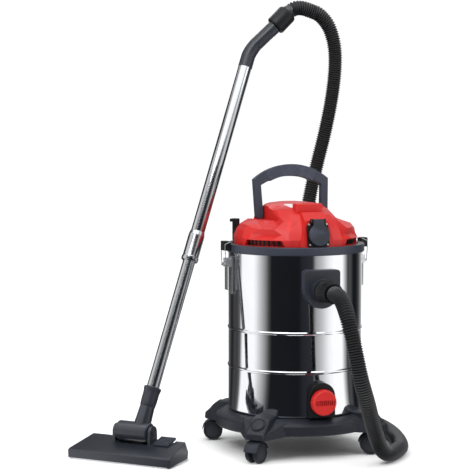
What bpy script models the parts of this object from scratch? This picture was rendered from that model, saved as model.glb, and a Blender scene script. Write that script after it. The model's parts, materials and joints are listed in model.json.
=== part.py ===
"""Wet and dry shop vacuum: steel drum on a castered trolley, lift-off motor head, hose, wand and floor head.

Metres, +Z up, the floor is z = 0. The machine is laid out around the drum's own axis, with the hose port
facing -Y, and one empty moves it all so that the origin is under the middle of the whole object.
"""
import bpy
import bmesh
from math import acos, atan2, cos, pi, radians, sin
from mathutils import Euler, Matrix, Vector

# Driving dimensions
AXIS_X, AXIS_Y = 0.1921, 0.0218      # the drum's axis, measured from the origin
GAP = 0.0003                         # clearance between pieces that touch
DRUM_R = 0.170
DRUM_WALL = 0.0016
DRUM_BOTTOM = 0.1008
DRUM_TOP = 0.5160
BEAD_Z = (0.3115, 0.2145)
# Each caster arm and its gusset: distance out, half width, underside and top
ARM_SHAPE = ((0.140, 0.0300, 0.0640, 0.1095), (0.208, 0.0290, 0.0580, 0.1060),
             (0.240, 0.0280, 0.0565, 0.0770), (0.246, 0.0270, 0.0565, 0.0745))
GUSSET_SHAPE = ((0.160, 0.0800, 0.0640, 0.0990), (0.190, 0.0640, 0.0620, 0.0930),
                (0.239, 0.0290, 0.0570, 0.0700))
ARM_SLOPE = atan2(0.1060 - 0.0770, 0.240 - 0.208)
BEAD_PROUD = 0.0026
RIM_R = 0.1765
RIM_BOTTOM = 0.5040
DECK_Z = 0.5175
DECK_TOP = 0.5215
RIM_TOP = 0.5245
COVER_BASE = DECK_TOP + GAP
COVER_WALL = 0.003
SHOULDER_FALL = 0.115                # slope of the cover's shoulder, down to the front
CROWN_FALL = 0.09                    # slope of the cover's top
CASTER_AXIS = 0.1555                 # x and y of each caster's stem from the drum's axis
WHEEL_R = 0.0250
WHEEL_TRAIL = 0.012
PORT_Z = 0.4190
DRAIN_Z = 0.1440
HANDLE_PIVOT = Vector((0.0, 0.0280, 0.5980))
HANDLE_LEAN = radians(5)             # how far the handle leans back where it stands
HANDLE_HALF = 0.101
LATCH_PIVOT = (0.1835, 0.4790)       # distance from the drum's axis, and height
BAIL_FOOT = (0.0085, -0.0040)        # the bail's foot from the lever's pivot, outwards and up
BAIL_TOP = (0.1800, 0.5315)          # the bail's crossbar in the lid's hook
WAND_TOP = Vector((-0.0695, 0.1837, 0.9715))
NOZZLE_PIVOT = Vector((-0.4285, -0.0065, 0.0660))
NOZZLE_YAW = radians(-46.6)
WAND_OFFSET = 0.0155                 # where the wand meets the barrel, from the barrel's middle
TUBE_R = 0.0178
LOWER_R = 0.0160
SLEEVE_TOP, SLEEVE_END = 0.460, 0.540
NECK_TOP = 0.877
HOSE_R = 0.0198
HOSE_STEP = 0.0400                   # spacing of the hose's rings
HOSE_STRAIGHT = 0.0060               # its straight run at each end

# The hose's centre line from the port to the wand handle, around the drum's axis
HOSE_ROUTE = [(0.000, -0.256, 0.4190), (-0.001, -0.286, 0.4165), (-0.003, -0.316, 0.4060),
              (-0.004, -0.341, 0.3850), (-0.002, -0.356, 0.3550), (0.004, -0.367, 0.3160),
              (0.012, -0.373, 0.2700), (0.022, -0.374, 0.2220), (0.039, -0.367, 0.1730),
              (0.060, -0.348, 0.1230), (0.081, -0.326, 0.0830), (0.102, -0.304, 0.0500),
              (0.126, -0.283, 0.0290), (0.150, -0.263, 0.0215), (0.178, -0.234, 0.0202),
              (0.205, -0.199, 0.0202), (0.227, -0.151, 0.0202), (0.249, -0.083, 0.0202),
              (0.268, -0.005, 0.0202), (0.277, 0.075, 0.0210), (0.272, 0.150, 0.0240),
              (0.250, 0.213, 0.0360), (0.218, 0.260, 0.0620), (0.184, 0.288, 0.1090),
              (0.157, 0.298, 0.1720), (0.138, 0.294, 0.2500), (0.126, 0.279, 0.3500),
              (0.122, 0.255, 0.4800), (0.129, 0.226, 0.6150), (0.145, 0.213, 0.7090),
              (0.164, 0.202, 0.7990), (0.179, 0.193, 0.8870), (0.186, 0.186, 0.9670),
              (0.182, 0.181, 1.0300), (0.164, 0.177, 1.0810), (0.137, 0.175, 1.1110),
              (0.112, 0.1745, 1.1212), (0.088, 0.174, 1.1280), (0.0675, 0.174, 1.1272),
              (0.048, 0.175, 1.1160), ]
COLLAR_FOOT = Vector((0.0111, 0.1785, 1.0785))   # the hose collar's end at the handle

PANEL_PLACE = (-0.0060, -0.0300, 0.6225 - 0.0300 * CROWN_FALL)
PANEL_TILT = (atan2(CROWN_FALL, 1.0), 0.0, 0.0)

COLOURS = {"steel": ((0.62, 0.63, 0.65), 0.12, 1.0), "chrome": ((0.72, 0.73, 0.75), 0.08, 1.0),
           "charcoal": ((0.030, 0.033, 0.042), 0.45, 0.0), "black": ((0.012, 0.012, 0.014), 0.5, 0.0),
           "red": ((0.72, 0.030, 0.022), 0.35, 0.0), "grey": ((0.55, 0.56, 0.58), 0.45, 0.0),
           "rubber": ((0.015, 0.015, 0.016), 0.75, 0.0), "paper": ((0.72, 0.68, 0.58), 0.9, 0.0),
           "hose": ((0.010, 0.010, 0.012), 0.4, 0.0), "bristle": ((0.10, 0.02, 0.02), 0.85, 0.0),
           "zinc": ((0.45, 0.45, 0.46), 0.35, 1.0), "ivory": ((0.75, 0.73, 0.68), 0.5, 0.0), }


def clear_scene():
    for old in list(bpy.data.objects):
        bpy.data.objects.remove(old, do_unlink=True)


clear_scene()
PARTS = bpy.data.collections.new("shop_vacuum")
CUTTERS = bpy.data.collections.new("cutters")
bpy.context.scene.collection.children.link(PARTS)
bpy.context.scene.collection.children.link(CUTTERS)


def paint(name):
    """The named material, made once."""
    if name in bpy.data.materials:
        return bpy.data.materials[name]
    colour, roughness, metallic = COLOURS[name]
    mat = bpy.data.materials.new(name)
    mat.use_nodes = True
    shader = mat.node_tree.nodes["Principled BSDF"]
    shader.inputs["Base Color"].default_value = (*colour, 1.0)
    shader.inputs["Roughness"].default_value = roughness
    shader.inputs["Metallic"].default_value = metallic
    return mat


def empty(name, location=(0, 0, 0), rotation=(0, 0, 0), parent=None):
    guide = bpy.data.objects.new(name, None)
    PARTS.objects.link(guide)
    guide.location = location
    guide.rotation_euler = rotation
    guide.parent = parent
    return guide


MACHINE = empty("machine_frame", (AXIS_X, AXIS_Y, 0.0))


def add(name, mesh, colour=None, location=(0, 0, 0), rotation=(0, 0, 0), parent=MACHINE):
    """An object in the parts collection, or among the cutters where it has no colour."""
    piece = bpy.data.objects.new(name, mesh)
    piece.location = location
    piece.rotation_euler = rotation
    piece.parent = parent
    if colour:
        PARTS.objects.link(piece)
        mesh.materials.append(paint(colour))
    else:
        CUTTERS.objects.link(piece)
        piece.hide_render = True
        piece.display_type = "WIRE"
    return piece


def mesh_of(name, shape):
    mesh = bpy.data.meshes.new(name)
    shape.to_mesh(mesh)
    shape.free()
    return mesh


def round_shading(mesh, angle=radians(35)):
    mesh.shade_smooth()
    mesh.set_sharp_from_angle(angle=angle)


def bevel(piece, width, segments=1, angle=radians(30)):
    edge = piece.modifiers.new("edge", "BEVEL")
    edge.width = width
    edge.segments = segments
    edge.limit_method = "ANGLE"
    edge.angle_limit = angle
    return piece


def combine(piece, other, operation="DIFFERENCE"):
    step = piece.modifiers.new(operation.lower(), "BOOLEAN")
    step.operation = operation
    step.solver = "EXACT"
    step.object = other
    return piece


def turned(name, profile, segments, colour=None, closed=True, sweep=2 * pi, **place):
    """A profile of (radius, height) points turned about its own Z, its outer side first, from the top down."""
    shape = bmesh.new()
    points = [shape.verts.new((r, 0.0, z)) for r, z in profile]
    for a, b in zip(points, points[1:]):
        shape.edges.new((a, b))
    if closed:
        shape.edges.new((points[-1], points[0]))
    piece = add(name, mesh_of(name, shape), colour, **place)
    screw = piece.modifiers.new("turn", "SCREW")
    screw.angle = sweep
    screw.steps = segments
    screw.render_steps = segments
    screw.use_merge_vertices = True
    screw.merge_threshold = 0.00001
    screw.use_smooth_shade = True
    return piece


def ring(name, inner, outer, bottom, top, segments, colour=None, **place):
    profile = [(outer, top), (outer, bottom), (inner, bottom), (inner, top)]
    return turned(name, profile, segments, colour, **place)


def cylinder(name, radius, length, segments, colour=None, **place):
    """A cylinder along its own Z, centred on its origin."""
    shape = bmesh.new()
    bmesh.ops.create_cone(shape, cap_ends=True, segments=segments, radius1=radius, radius2=radius,
                          depth=length)
    mesh = mesh_of(name, shape)
    round_shading(mesh)
    return add(name, mesh, colour, **place)


def block(name, size, colour=None, **place):
    shape = bmesh.new()
    bmesh.ops.create_cube(shape, size=1.0, matrix=Matrix.Diagonal((*size, 1.0)))
    return add(name, mesh_of(name, shape), colour, **place)


def loft(name, sections, colour=None, **place):
    """A closed body through sections of equal point counts, each listed anticlockwise seen from the last one."""
    shape = bmesh.new()
    rows = [[shape.verts.new(point) for point in section] for section in sections]
    count = len(rows[0])
    for low, high in zip(rows, rows[1:]):
        for i in range(count):
            j = (i + 1) % count
            shape.faces.new((low[i], low[j], high[j], high[i]))
    shape.faces.new(list(reversed(rows[0])))
    shape.faces.new(rows[-1])
    bmesh.ops.recalc_face_normals(shape, faces=shape.faces)
    return add(name, mesh_of(name, shape), colour, **place)


def prism(name, outline, thickness, colour=None, smooth=False, **place):
    """A flat outline in XY given a thickness along Z, centred on its origin."""
    curve = bpy.data.curves.new(name, "CURVE")
    curve.dimensions = "2D"
    curve.fill_mode = "BOTH"
    curve.extrude = thickness / 2
    spline = curve.splines.new("POLY")
    spline.points.add(len(outline) - 1)
    for point, (x, y) in zip(spline.points, outline):
        point.co = (x, y, 0.0, 1.0)
    spline.use_cyclic_u = True
    guide = bpy.data.objects.new(name + "_outline", curve)
    CUTTERS.objects.link(guide)
    view = bpy.context.evaluated_depsgraph_get()
    mesh = bpy.data.meshes.new_from_object(guide.evaluated_get(view))
    bpy.data.objects.remove(guide, do_unlink=True)
    shape = bmesh.new()
    shape.from_mesh(mesh)
    bmesh.ops.remove_doubles(shape, verts=shape.verts, dist=0.00001)
    bmesh.ops.recalc_face_normals(shape, faces=shape.faces)
    shape.to_mesh(mesh)
    shape.free()
    mesh.name = name
    if smooth:
        round_shading(mesh)
    return add(name, mesh, colour, **place)


def wire(name, points, radius, colour, resolution=2, closed=False, **place):
    """A round bar or tube along straight runs between points."""
    curve = bpy.data.curves.new(name, "CURVE")
    curve.dimensions = "3D"
    curve.bevel_depth = radius
    curve.bevel_resolution = resolution
    curve.use_fill_caps = True
    curve.resolution_u = 1
    spline = curve.splines.new("POLY")
    spline.points.add(len(points) - 1)
    for point, place_at in zip(spline.points, points):
        point.co = (*place_at, 1.0)
    spline.use_cyclic_u = closed
    return add(name, as_mesh(name, curve), colour, **place)


def as_mesh(name, curve):
    """The curve's own tube as a mesh with its caps welded on."""
    guide = bpy.data.objects.new(name + "_line", curve)
    CUTTERS.objects.link(guide)
    view = bpy.context.evaluated_depsgraph_get()
    mesh = bpy.data.meshes.new_from_object(guide.evaluated_get(view))
    bpy.data.objects.remove(guide, do_unlink=True)
    shape = bmesh.new()
    shape.from_mesh(mesh)
    bmesh.ops.remove_doubles(shape, verts=shape.verts, dist=0.00001)
    bmesh.ops.recalc_face_normals(shape, faces=shape.faces)
    shape.to_mesh(mesh)
    shape.free()
    round_shading(mesh)
    return mesh


def arc(cx, cy, radius, start, end, steps):
    """Points on an arc, angles in degrees from +X."""
    turn = [radians(start + (end - start) * i / steps) for i in range(steps + 1)]
    return [(cx + radius * cos(a), cy + radius * sin(a)) for a in turn]


def rounded(width, height, radius, steps=3):
    """A rectangle's outline with round corners, centred on the origin."""
    x, y = width / 2 - radius, height / 2 - radius
    corners = ((x, y, 0), (-x, y, 90), (-x, -y, 180), (x, -y, 270))
    return [p for cx, cy, a in corners for p in arc(cx, cy, radius, a, a + 90, steps)]


def around(radius, angle):
    """A place at this angle from the port, towards +X, at this distance from the drum's axis."""
    return radius * sin(angle), -radius * cos(angle)


def smooth_route(points, spacing):
    """Points at an even spacing on a Catmull-Rom curve through the route's own points."""
    knots = [Vector(p) for p in points]
    knots = [2 * knots[0] - knots[1]] + knots + [2 * knots[-1] - knots[-2]]
    fine = []
    for a, b, c, d in zip(knots, knots[1:], knots[2:], knots[3:]):
        for step in range(16):
            t = step / 16
            fine.append(0.5 * (2 * b + (c - a) * t + (2 * a - 5 * b + 4 * c - d) * t ** 2
                               + (3 * b - 3 * c + d - a) * t ** 3))
    fine.append(knots[-2])
    total = sum((q - p).length for p, q in zip(fine, fine[1:]))
    pitch = total / round(total / spacing)
    even, walked, target = [fine[0]], 0.0, pitch
    for p, q in zip(fine, fine[1:]):
        length = (q - p).length
        while walked + length >= target and len(even) < round(total / pitch):
            even.append(p.lerp(q, (target - walked) / length))
            target += pitch
        walked += length
    return even + [fine[-1]]


# Drum

def drum_outside(offset=0.0):
    """The drum's outer profile from its mouth to the middle of its bottom."""
    points = [(DRUM_R, DRUM_TOP)]
    for z in BEAD_Z:
        points += [(DRUM_R, z + 0.0065), (DRUM_R + BEAD_PROUD, z + 0.0035)]
        points += [(DRUM_R + BEAD_PROUD, z - 0.0035), (DRUM_R, z - 0.0065)]
    points += [(DRUM_R, 0.130), (0.1670, 0.114), (0.1630, 0.1045), (0.1570, DRUM_BOTTOM)]
    return [(r + offset, z) for r, z in points]


def drum_envelope(name, clearance):
    """A solid of the drum's outer shape, for fitting pieces against it."""
    outside = drum_outside(clearance)
    foot = DRUM_BOTTOM - clearance
    solid = [(0.0, DRUM_TOP)] + outside[:-1] + [(outside[-1][0], foot), (0.0, foot)]
    return turned(name, solid, 48, closed=False)


def make_tub():
    outside = drum_outside() + [(0.0, DRUM_BOTTOM)]
    inside = [(0.0, DRUM_BOTTOM + DRUM_WALL), (0.1562, DRUM_BOTTOM + DRUM_WALL), (0.1614, 0.1056),
              (0.1654, 0.1146), (DRUM_R - DRUM_WALL, 0.1302), (DRUM_R - DRUM_WALL, DRUM_TOP)]
    tub = turned("tub", inside + outside, 48, "steel", closed=False)
    turn = (radians(90), 0, 0)
    combine(tub, cylinder("port_hole", 0.0265, 0.06, 32, location=(0, -0.17, PORT_Z), rotation=turn))
    combine(tub, cylinder("drain_hole", 0.0180, 0.06, 24, location=(0, -0.17, DRAIN_Z), rotation=turn))
    return tub


# Trolley

def arm_sections(angle, shape):
    """Sections of one caster arm, from under the drum out to its tip."""
    along = Vector((*around(1.0, angle), 0.0))
    across = Vector((-along.y, along.x, 0.0))
    sections = []
    for r, half, low, high in shape:
        corners = ((-half, low), (half, low), (half * 0.86, high), (-half * 0.86, high))
        sections.append([along * r + across * t + Vector((0, 0, z)) for t, z in corners])
    return sections


def make_trolley():
    tray = [(0.0, 0.1003), (0.1780, 0.1003), (0.1990, 0.0900), (0.2025, 0.0860), (0.2025, 0.0640),
            (0.2000, 0.0615), (0.1965, 0.0615), (0.1965, 0.0840), (0.1760, 0.0955), (0.0, 0.0955)]
    base = turned("trolley_base", tray, 48, "charcoal", closed=False)
    envelope = drum_envelope("drum_seat", GAP)
    for index, quarter in enumerate((-45, 45, 135, -135)):
        angle = radians(quarter)
        combine(base, loft(f"gusset_{index}", arm_sections(angle, GUSSET_SHAPE)), "UNION")
        arm = loft(f"arm_{index}", arm_sections(angle, ARM_SHAPE))
        bevel(arm, 0.003)
        combine(base, arm, "UNION")
        x, y = around(0.2245, angle)
        recess = cylinder(f"recess_{index}", 0.0205, 0.004, 20, location=(x, y, 0.0915),
                          rotation=(ARM_SLOPE, 0, angle))
        combine(base, recess)
    combine(base, envelope)
    for index, (sx, sy) in enumerate(((-1, -1), (1, -1), (1, 1), (-1, 1))):
        place = (sx * CASTER_AXIS, sy * CASTER_AXIS, 0.0755)
        combine(base, cylinder(f"stem_socket_{index}", 0.0058, 0.044, 16, location=place))
    return base


def make_caster(side, sx, sy, roll):
    """One swivel caster: a hood on a stem, and its pair of wheels, which trail behind the stem."""
    swivel = empty(f"caster_frame_{side}", (sx * CASTER_AXIS, sy * CASTER_AXIS, 0.0), (0, 0, roll),
                   MACHINE)
    web = [(-0.0245, 0.030), (-0.0225, 0.044), (-0.010, 0.0535), (0.010, 0.0545), (0.0185, 0.048),
           (0.0185, 0.036), (0.006, 0.020), (-0.006, 0.012), (-0.018, 0.014)]
    hood = prism(f"caster_hood_{side}", [(x, z) for x, z in reversed(web)], 0.0120, "charcoal",
                 rotation=(radians(90), 0, 0), parent=swivel)
    fender = arc(-WHEEL_TRAIL, WHEEL_R, 0.0286, 18, 172, 9) + arc(-WHEEL_TRAIL, WHEEL_R, 0.0264, 172, 18, 9)
    combine(hood, prism(f"fender_{side}", fender, 0.0370, rotation=(radians(90), 0, 0), parent=swivel),
            "UNION")
    combine(hood, cylinder(f"stem_{side}", 0.0054, 0.044, 16, location=(0, 0, 0.0690), parent=swivel),
            "UNION")
    bore = cylinder(f"axle_bore_{side}", 0.0036, 0.03, 16, location=(-WHEEL_TRAIL, 0, WHEEL_R),
                    rotation=(radians(90), 0, 0), parent=swivel)
    combine(hood, bore)
    half = 0.0182
    pair = [(0.0, half), (0.0215, half), (WHEEL_R, half - 0.0035), (WHEEL_R, 0.0070), (0.0032, 0.0070),
            (0.0032, -0.0070), (WHEEL_R, -0.0070), (WHEEL_R, -half + 0.0035), (0.0215, -half),
            (0.0, -half)]
    turned(f"caster_wheels_{side}", pair, 24, "charcoal", closed=False,
           location=(-WHEEL_TRAIL, 0, WHEEL_R), rotation=(radians(90), 0, 0), parent=swivel)


# Port, drain and latches

def make_inlet():
    half = 0.0477
    outline = rounded(2 * half, 2 * half, 0.008)[:8] + arc(0, 0, half, 180, 360, 16)
    plate = prism("inlet_plate", outline, 0.036, "charcoal", location=(0, -0.166, 0.4225),
                  rotation=(radians(90), 0, 0))
    bevel(plate, 0.0025, 2)
    combine(plate, cylinder("port_collar", 0.0300, 0.016, 32, location=(0, -0.1900, PORT_Z),
                            rotation=(radians(90), 0, 0)), "UNION")
    combine(plate, drum_envelope("inlet_seat", GAP))
    combine(plate, cylinder("port_bore", 0.0252, 0.1, 32, location=(0, -0.18, PORT_Z),
                            rotation=(radians(90), 0, 0)))
    cuff = [(0.0246, 0.0380), (0.0246, -0.0004), (0.0290, -0.0004), (0.0290, -0.0120), (0.0235, -0.0560),
              (0.0198, -0.0560), (0.0198, 0.0380)]
    turned("inlet_cuff", cuff, 32, "black", location=(0, -0.1985, PORT_Z), rotation=(radians(-90), 0, 0))


def make_drain():
    half = 0.0345
    outline = arc(0, 0.0130, half, 0, 180, 16) + [(-half, -0.0390), (half, -0.0390)]
    boss = prism("drain_boss", outline, 0.034, "black", location=(0, -0.1690, DRAIN_Z),
                 rotation=(radians(90), 0, 0))
    bevel(boss, 0.002, 1)
    combine(boss, drum_envelope("drain_seat", GAP))
    turn = (radians(90), 0, 0)
    combine(boss, cylinder("drain_bore", 0.0150, 0.1, 24, location=(0, -0.17, DRAIN_Z), rotation=turn))
    cap = turned("drain_cap", [(0.0, 0.0160), (0.0300, 0.0160), (0.0325, 0.0140), (0.0325, 0.0),
                               (0.0, 0.0)], 36, "red", closed=False, location=(0, -0.1890, DRAIN_Z),
                 rotation=turn)
    combine(cap, block("cap_recess", (0.046, 0.012, 0.010), location=(0, -0.2050, DRAIN_Z),
                       rotation=turn))
    combine(cap, cylinder("cap_plug", 0.0115, 0.030, 24, location=(0, -0.1790, DRAIN_Z), rotation=turn),
            "UNION")
    ring("drain_seal", 0.0122, 0.0175, -0.0012, 0.0012, 24, "rubber", location=(0, -0.1875, DRAIN_Z),
         rotation=turn)


def make_latch(side, sign):
    """A draw latch: a base and toggle lever on the drum, and a wire bail over a hook on the lid's rim."""
    pivot_r, pivot_z = LATCH_PIVOT
    face = empty(f"latch_frame_{side}", (0, 0, 0), (0, 0, radians(90) * sign), MACHINE)
    base = block(f"latch_base_{side}", (0.026, 0.004, 0.094), "chrome", location=(0, -0.1730, 0.4470),
                 parent=face)
    for cheek in (-1, 1):
        ear = block(f"latch_ear_{side}_{cheek}", (0.002, 0.016, 0.022),
                    location=(0.012 * cheek, -0.1810, pivot_z), parent=face)
        combine(base, ear, "UNION")
        pin = cylinder(f"latch_hole_{side}_{cheek}", 0.0025, 0.01, 12,
                       location=(0.012 * cheek, -pivot_r, pivot_z), rotation=(0, radians(90), 0),
                       parent=face)
        combine(base, pin)
    combine(base, drum_envelope(f"latch_seat_{side}", GAP))
    swing = empty(f"latch_pivot_{side}", (0, -pivot_r, pivot_z), (0, 0, 0), face)
    lever = block(f"latch_lever_{side}", (0.0200, 0.0020, 0.066), "chrome",
                  location=(0, -0.0020, -0.0360), parent=swing)
    combine(lever, cylinder(f"latch_barrel_{side}", 0.0042, 0.0200, 16, rotation=(0, radians(90), 0),
                            parent=swing),
            "UNION")
    combine(lever, cylinder(f"latch_axle_{side}", 0.0021, 0.0264, 12, rotation=(0, radians(90), 0),
                            parent=swing),
            "UNION")
    for cheek in (-1, 1):
        lug = block(f"latch_lug_{side}_{cheek}", (0.0020, 0.0100, 0.0080),
                    location=(0.0085 * cheek, -0.0070, BAIL_FOOT[1]), parent=swing)
        combine(lever, lug, "UNION")
    foot_r, foot_z = pivot_r + BAIL_FOOT[0], pivot_z + BAIL_FOOT[1]
    rise, half, lean = BAIL_TOP[1] - foot_z, 0.0155, foot_r - BAIL_TOP[0]
    bail = [(half - 0.0035, 0, 0), (half, 0, 0.004), (half, -0.002, rise - 0.024),
            (half, -0.002, rise - 0.006), (half, lean, rise), (-half, lean, rise),
            (-half, -0.002, rise - 0.006), (-half, -0.002, rise - 0.024), (-half, 0, 0.004),
            (-half + 0.0035, 0, 0)]
    wire(f"latch_bail_{side}", bail, 0.0012, "zinc", location=(0, -foot_r, foot_z), parent=face)
    clip = block(f"lid_hook_{side}", (0.024, 0.020, 0.024), "black",
                 location=(0, -RIM_R - 0.0105, 0.5215), parent=face)
    bevel(clip, 0.002, 2)
    combine(clip, cylinder(f"rim_seat_{side}", RIM_R + GAP, 0.06, 64, location=(0, 0, 0.5165),
                           parent=face))
    groove = block(f"hook_groove_{side}", (0.040, 0.0050, 0.012), location=(0, -0.1800, 0.5345),
                   parent=face)
    combine(clip, groove)


# Motor head

def make_lid():
    rim = [(0.1755, RIM_TOP), (RIM_R, RIM_TOP - 0.002), (RIM_R, RIM_BOTTOM + 0.002), (0.1750, RIM_BOTTOM),
           (0.1713, RIM_BOTTOM), (0.1713, DECK_Z), (0.030, DECK_Z), (0.030, DECK_TOP), (0.1605, DECK_TOP),
           (0.1605, RIM_TOP)]
    turned("lid_base", rim, 64, "charcoal")
    ring("lid_gasket", 0.1610, 0.1676, 0.5095, DECK_Z - GAP, 40, "rubber")


def cover_blocks(inset):
    """The motor cover's overlapping masses, each drawn in by this much."""
    def polygon(corners, z, fall=0.0):
        return [Vector((x, y, z + fall * y)) for x, y in corners]

    def shrunk(points, by):
        middle = sum(points, Vector()) / len(points)
        flat = [Vector((p.x - middle.x, p.y - middle.y, 0)) for p in points]
        return [Vector((middle.x, middle.y, p.z)) + f * (1 - by / f.length) for p, f in zip(points, flat)]

    def level(radius, count, z, turn=0.0):
        return polygon([around(radius, 2 * pi * (i + turn) / count) for i in range(count)], z)

    drop = inset
    below = 0.010 if inset else 0.0
    skirt = [level(0.1575, 48, COVER_BASE - below), level(0.1570, 48, 0.5440 - drop)]
    brow = [level(0.1575, 16, 0.5440 - 2 * drop, 0.5), level(0.1500, 16, 0.5530 - drop, 0.5),
            level(0.1340, 16, 0.5600 - drop, 0.5)]
    shoulder_low = polygon([(0.052, -0.142), (0.128, -0.078), (0.144, 0.018), (0.129, 0.086),
                            (0.068, 0.139), (-0.068, 0.139), (-0.129, 0.086), (-0.144, 0.018),
                            (-0.128, -0.078), (-0.052, -0.142)], 0.5480 - 3 * drop)
    shoulder_high = polygon([(0.046, -0.120), (0.108, -0.070), (0.116, 0.012), (0.099, 0.066),
                             (0.050, 0.106), (-0.050, 0.106), (-0.099, 0.066), (-0.116, 0.012),
                             (-0.108, -0.070), (-0.046, -0.120)], 0.5920 - drop, SHOULDER_FALL)
    crown_low = polygon([(0.040, -0.118), (0.078, -0.092), (0.092, -0.030), (0.092, 0.046),
                         (0.046, 0.098), (-0.046, 0.098), (-0.092, 0.046), (-0.092, -0.030),
                         (-0.078, -0.092), (-0.040, -0.118)], 0.5750 - 3 * drop)
    crown_mid = polygon([(0.038, -0.098), (0.064, -0.078), (0.078, -0.026), (0.078, 0.038),
                         (0.040, 0.080), (-0.040, 0.080), (-0.078, 0.038), (-0.078, -0.026),
                         (-0.064, -0.078), (-0.038, -0.098)], 0.6110 - drop)
    crown_high = polygon([(0.034, -0.080), (0.050, -0.064), (0.062, -0.022), (0.062, 0.030),
                          (0.034, 0.062), (-0.034, 0.062), (-0.062, 0.030), (-0.062, -0.022),
                          (-0.050, -0.064), (-0.034, -0.080)], 0.6225 - drop, CROWN_FALL)
    shapes = [skirt, brow, [shoulder_low, shoulder_high], [crown_low, crown_mid, crown_high]]
    return [[shrunk(section, inset) if inset else section for section in shape] for shape in shapes]


def make_cover(outlet):
    solids = [loft(f"cover_mass_{i}", shape, "red" if i == 0 else None) for i,
              shape in enumerate(cover_blocks(0.0))]
    cover = solids[0]
    cover.name = "motor_cover"
    cover.data.name = "motor_cover"
    for mass in solids[1:]:
        combine(cover, mass, "UNION")
    column_low = [(-0.040, -0.1535), (0.040, -0.1535), (0.040, -0.080), (-0.040, -0.080)]
    column_mid = [(-0.032, -0.1429), (0.032, -0.1429), (0.038, -0.080), (-0.038, -0.080)]
    column_high = [(-0.031, -0.1160), (0.031, -0.1160), (0.036, -0.070), (-0.036, -0.070)]
    rise = ((column_low, COVER_BASE), (column_mid, 0.5890), (column_high, 0.6080))
    column = loft("cover_column", [[Vector((x, y, z)) for x, y in row] for row, z in rise])
    combine(cover, column, "UNION")
    bar_low = [(-0.036, -0.100), (0.036, -0.100), (0.036, -0.066), (-0.036, -0.066)]
    bar_high = [(-0.033, -0.093), (0.033, -0.093), (0.033, -0.066), (-0.033, -0.066)]
    bar = loft("cover_bar", [[Vector((x, y, z)) for x, y in row] for row,
                             z in ((bar_low, 0.600), (bar_high, 0.6290))])
    combine(cover, bar, "UNION")
    for index, shape in enumerate(cover_blocks(COVER_WALL)):
        combine(cover, loft(f"cover_hollow_{index}", shape))
    hollow_low = [(-0.036, -0.1500), (0.036, -0.1500), (0.036, -0.070), (-0.036, -0.070)]
    hollow_mid = [(-0.028, -0.1395), (0.028, -0.1395), (0.034, -0.070), (-0.034, -0.070)]
    hollow_top = [(-0.027, -0.1140), (0.027, -0.1140), (0.030, -0.070), (-0.030, -0.070)]
    rise = ((hollow_low, COVER_BASE - 0.010), (hollow_mid, 0.5865), (hollow_top, 0.6040))
    combine(cover, loft("column_hollow", [[Vector((x, y, z)) for x, y in row] for row, z in rise]))
    for sign in (-1, 1):
        channel = block(f"handle_channel_{sign}", (0.0350, 0.1460, 0.0650),
                        location=(0.0930 * sign, 0.0830, 0.6125))
        combine(cover, channel)
        pin_hole = cylinder(f"pin_hole_{sign}", 0.0048, 0.012, 16,
                            location=(0.0740 * sign, *HANDLE_PIVOT.yz), rotation=(0, radians(90), 0))
        combine(cover, pin_hole)
        window = loft(f"vent_window_{sign}", vent_window(sign))
        combine(cover, window)
    combine(cover, block("outlet_flat", (0.0600, 0.0300, 0.0780), location=(0, -0.0113, 0),
                         parent=outlet))
    combine(cover, block("switch_pocket", (0.0222, 0.0182, 0.0200), location=(0, -0.0800, 0.6270)))
    combine(cover, block("panel_seat", (0.0566, 0.0566, 0.0024), location=PANEL_PLACE,
                         rotation=PANEL_TILT))
    combine(cover, cylinder("gland_hole", 0.0062, 0.06, 16, location=(0, 0.140, 0.5350),
                            rotation=(radians(90), 0, 0)))
    return cover


def vent_window(sign):
    """A tapered opening through the skirt for one vent grille."""
    sections = []
    for radius in (0.1400, 0.1800):
        near, far = around(radius, radians(31.5) * sign), around(radius, radians(73) * sign)
        sections.append([Vector((*near, 0.5255)), Vector((*far, 0.5255)), Vector((*far, 0.5395)),
                         Vector((*near, 0.5395))])
    return sections


def make_vent(side, sign):
    """A black grille behind its window, with upright ribs between open slots."""
    start, end = radians(28), radians(76)
    profile = [(0.1500, 0.5405), (0.1500, 0.5230), (0.1470, 0.5230), (0.1470, 0.5405)]
    spin = -pi / 2 + (start if sign > 0 else -end)
    shape = bmesh.new()
    points = [shape.verts.new((r, 0.0, z)) for r, z in profile]
    for a, b in zip(points, points[1:] + points[:1]):
        shape.edges.new((a, b))
    bmesh.ops.spin(shape, geom=shape.verts[:] + shape.edges[:], cent=(0, 0, 0), axis=(0, 0, 1),
                   angle=end - start, steps=12)
    bmesh.ops.holes_fill(shape, edges=shape.edges)
    bmesh.ops.recalc_face_normals(shape, faces=shape.faces)
    grille = add(f"vent_grille_{side}", mesh_of(f"vent_grille_{side}", shape), "black",
                 rotation=(0, 0, spin))
    slots = 8
    for index in range(slots):
        angle = sign * radians(34.5 + 36.0 * index / (slots - 1))
        x, y = around(0.1485, angle)
        slot = block(f"vent_slot_{side}_{index}", (0.0085, 0.012, 0.0130), location=(x, y, 0.5320),
                     rotation=(0, 0, angle))
        combine(grille, slot)


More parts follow.
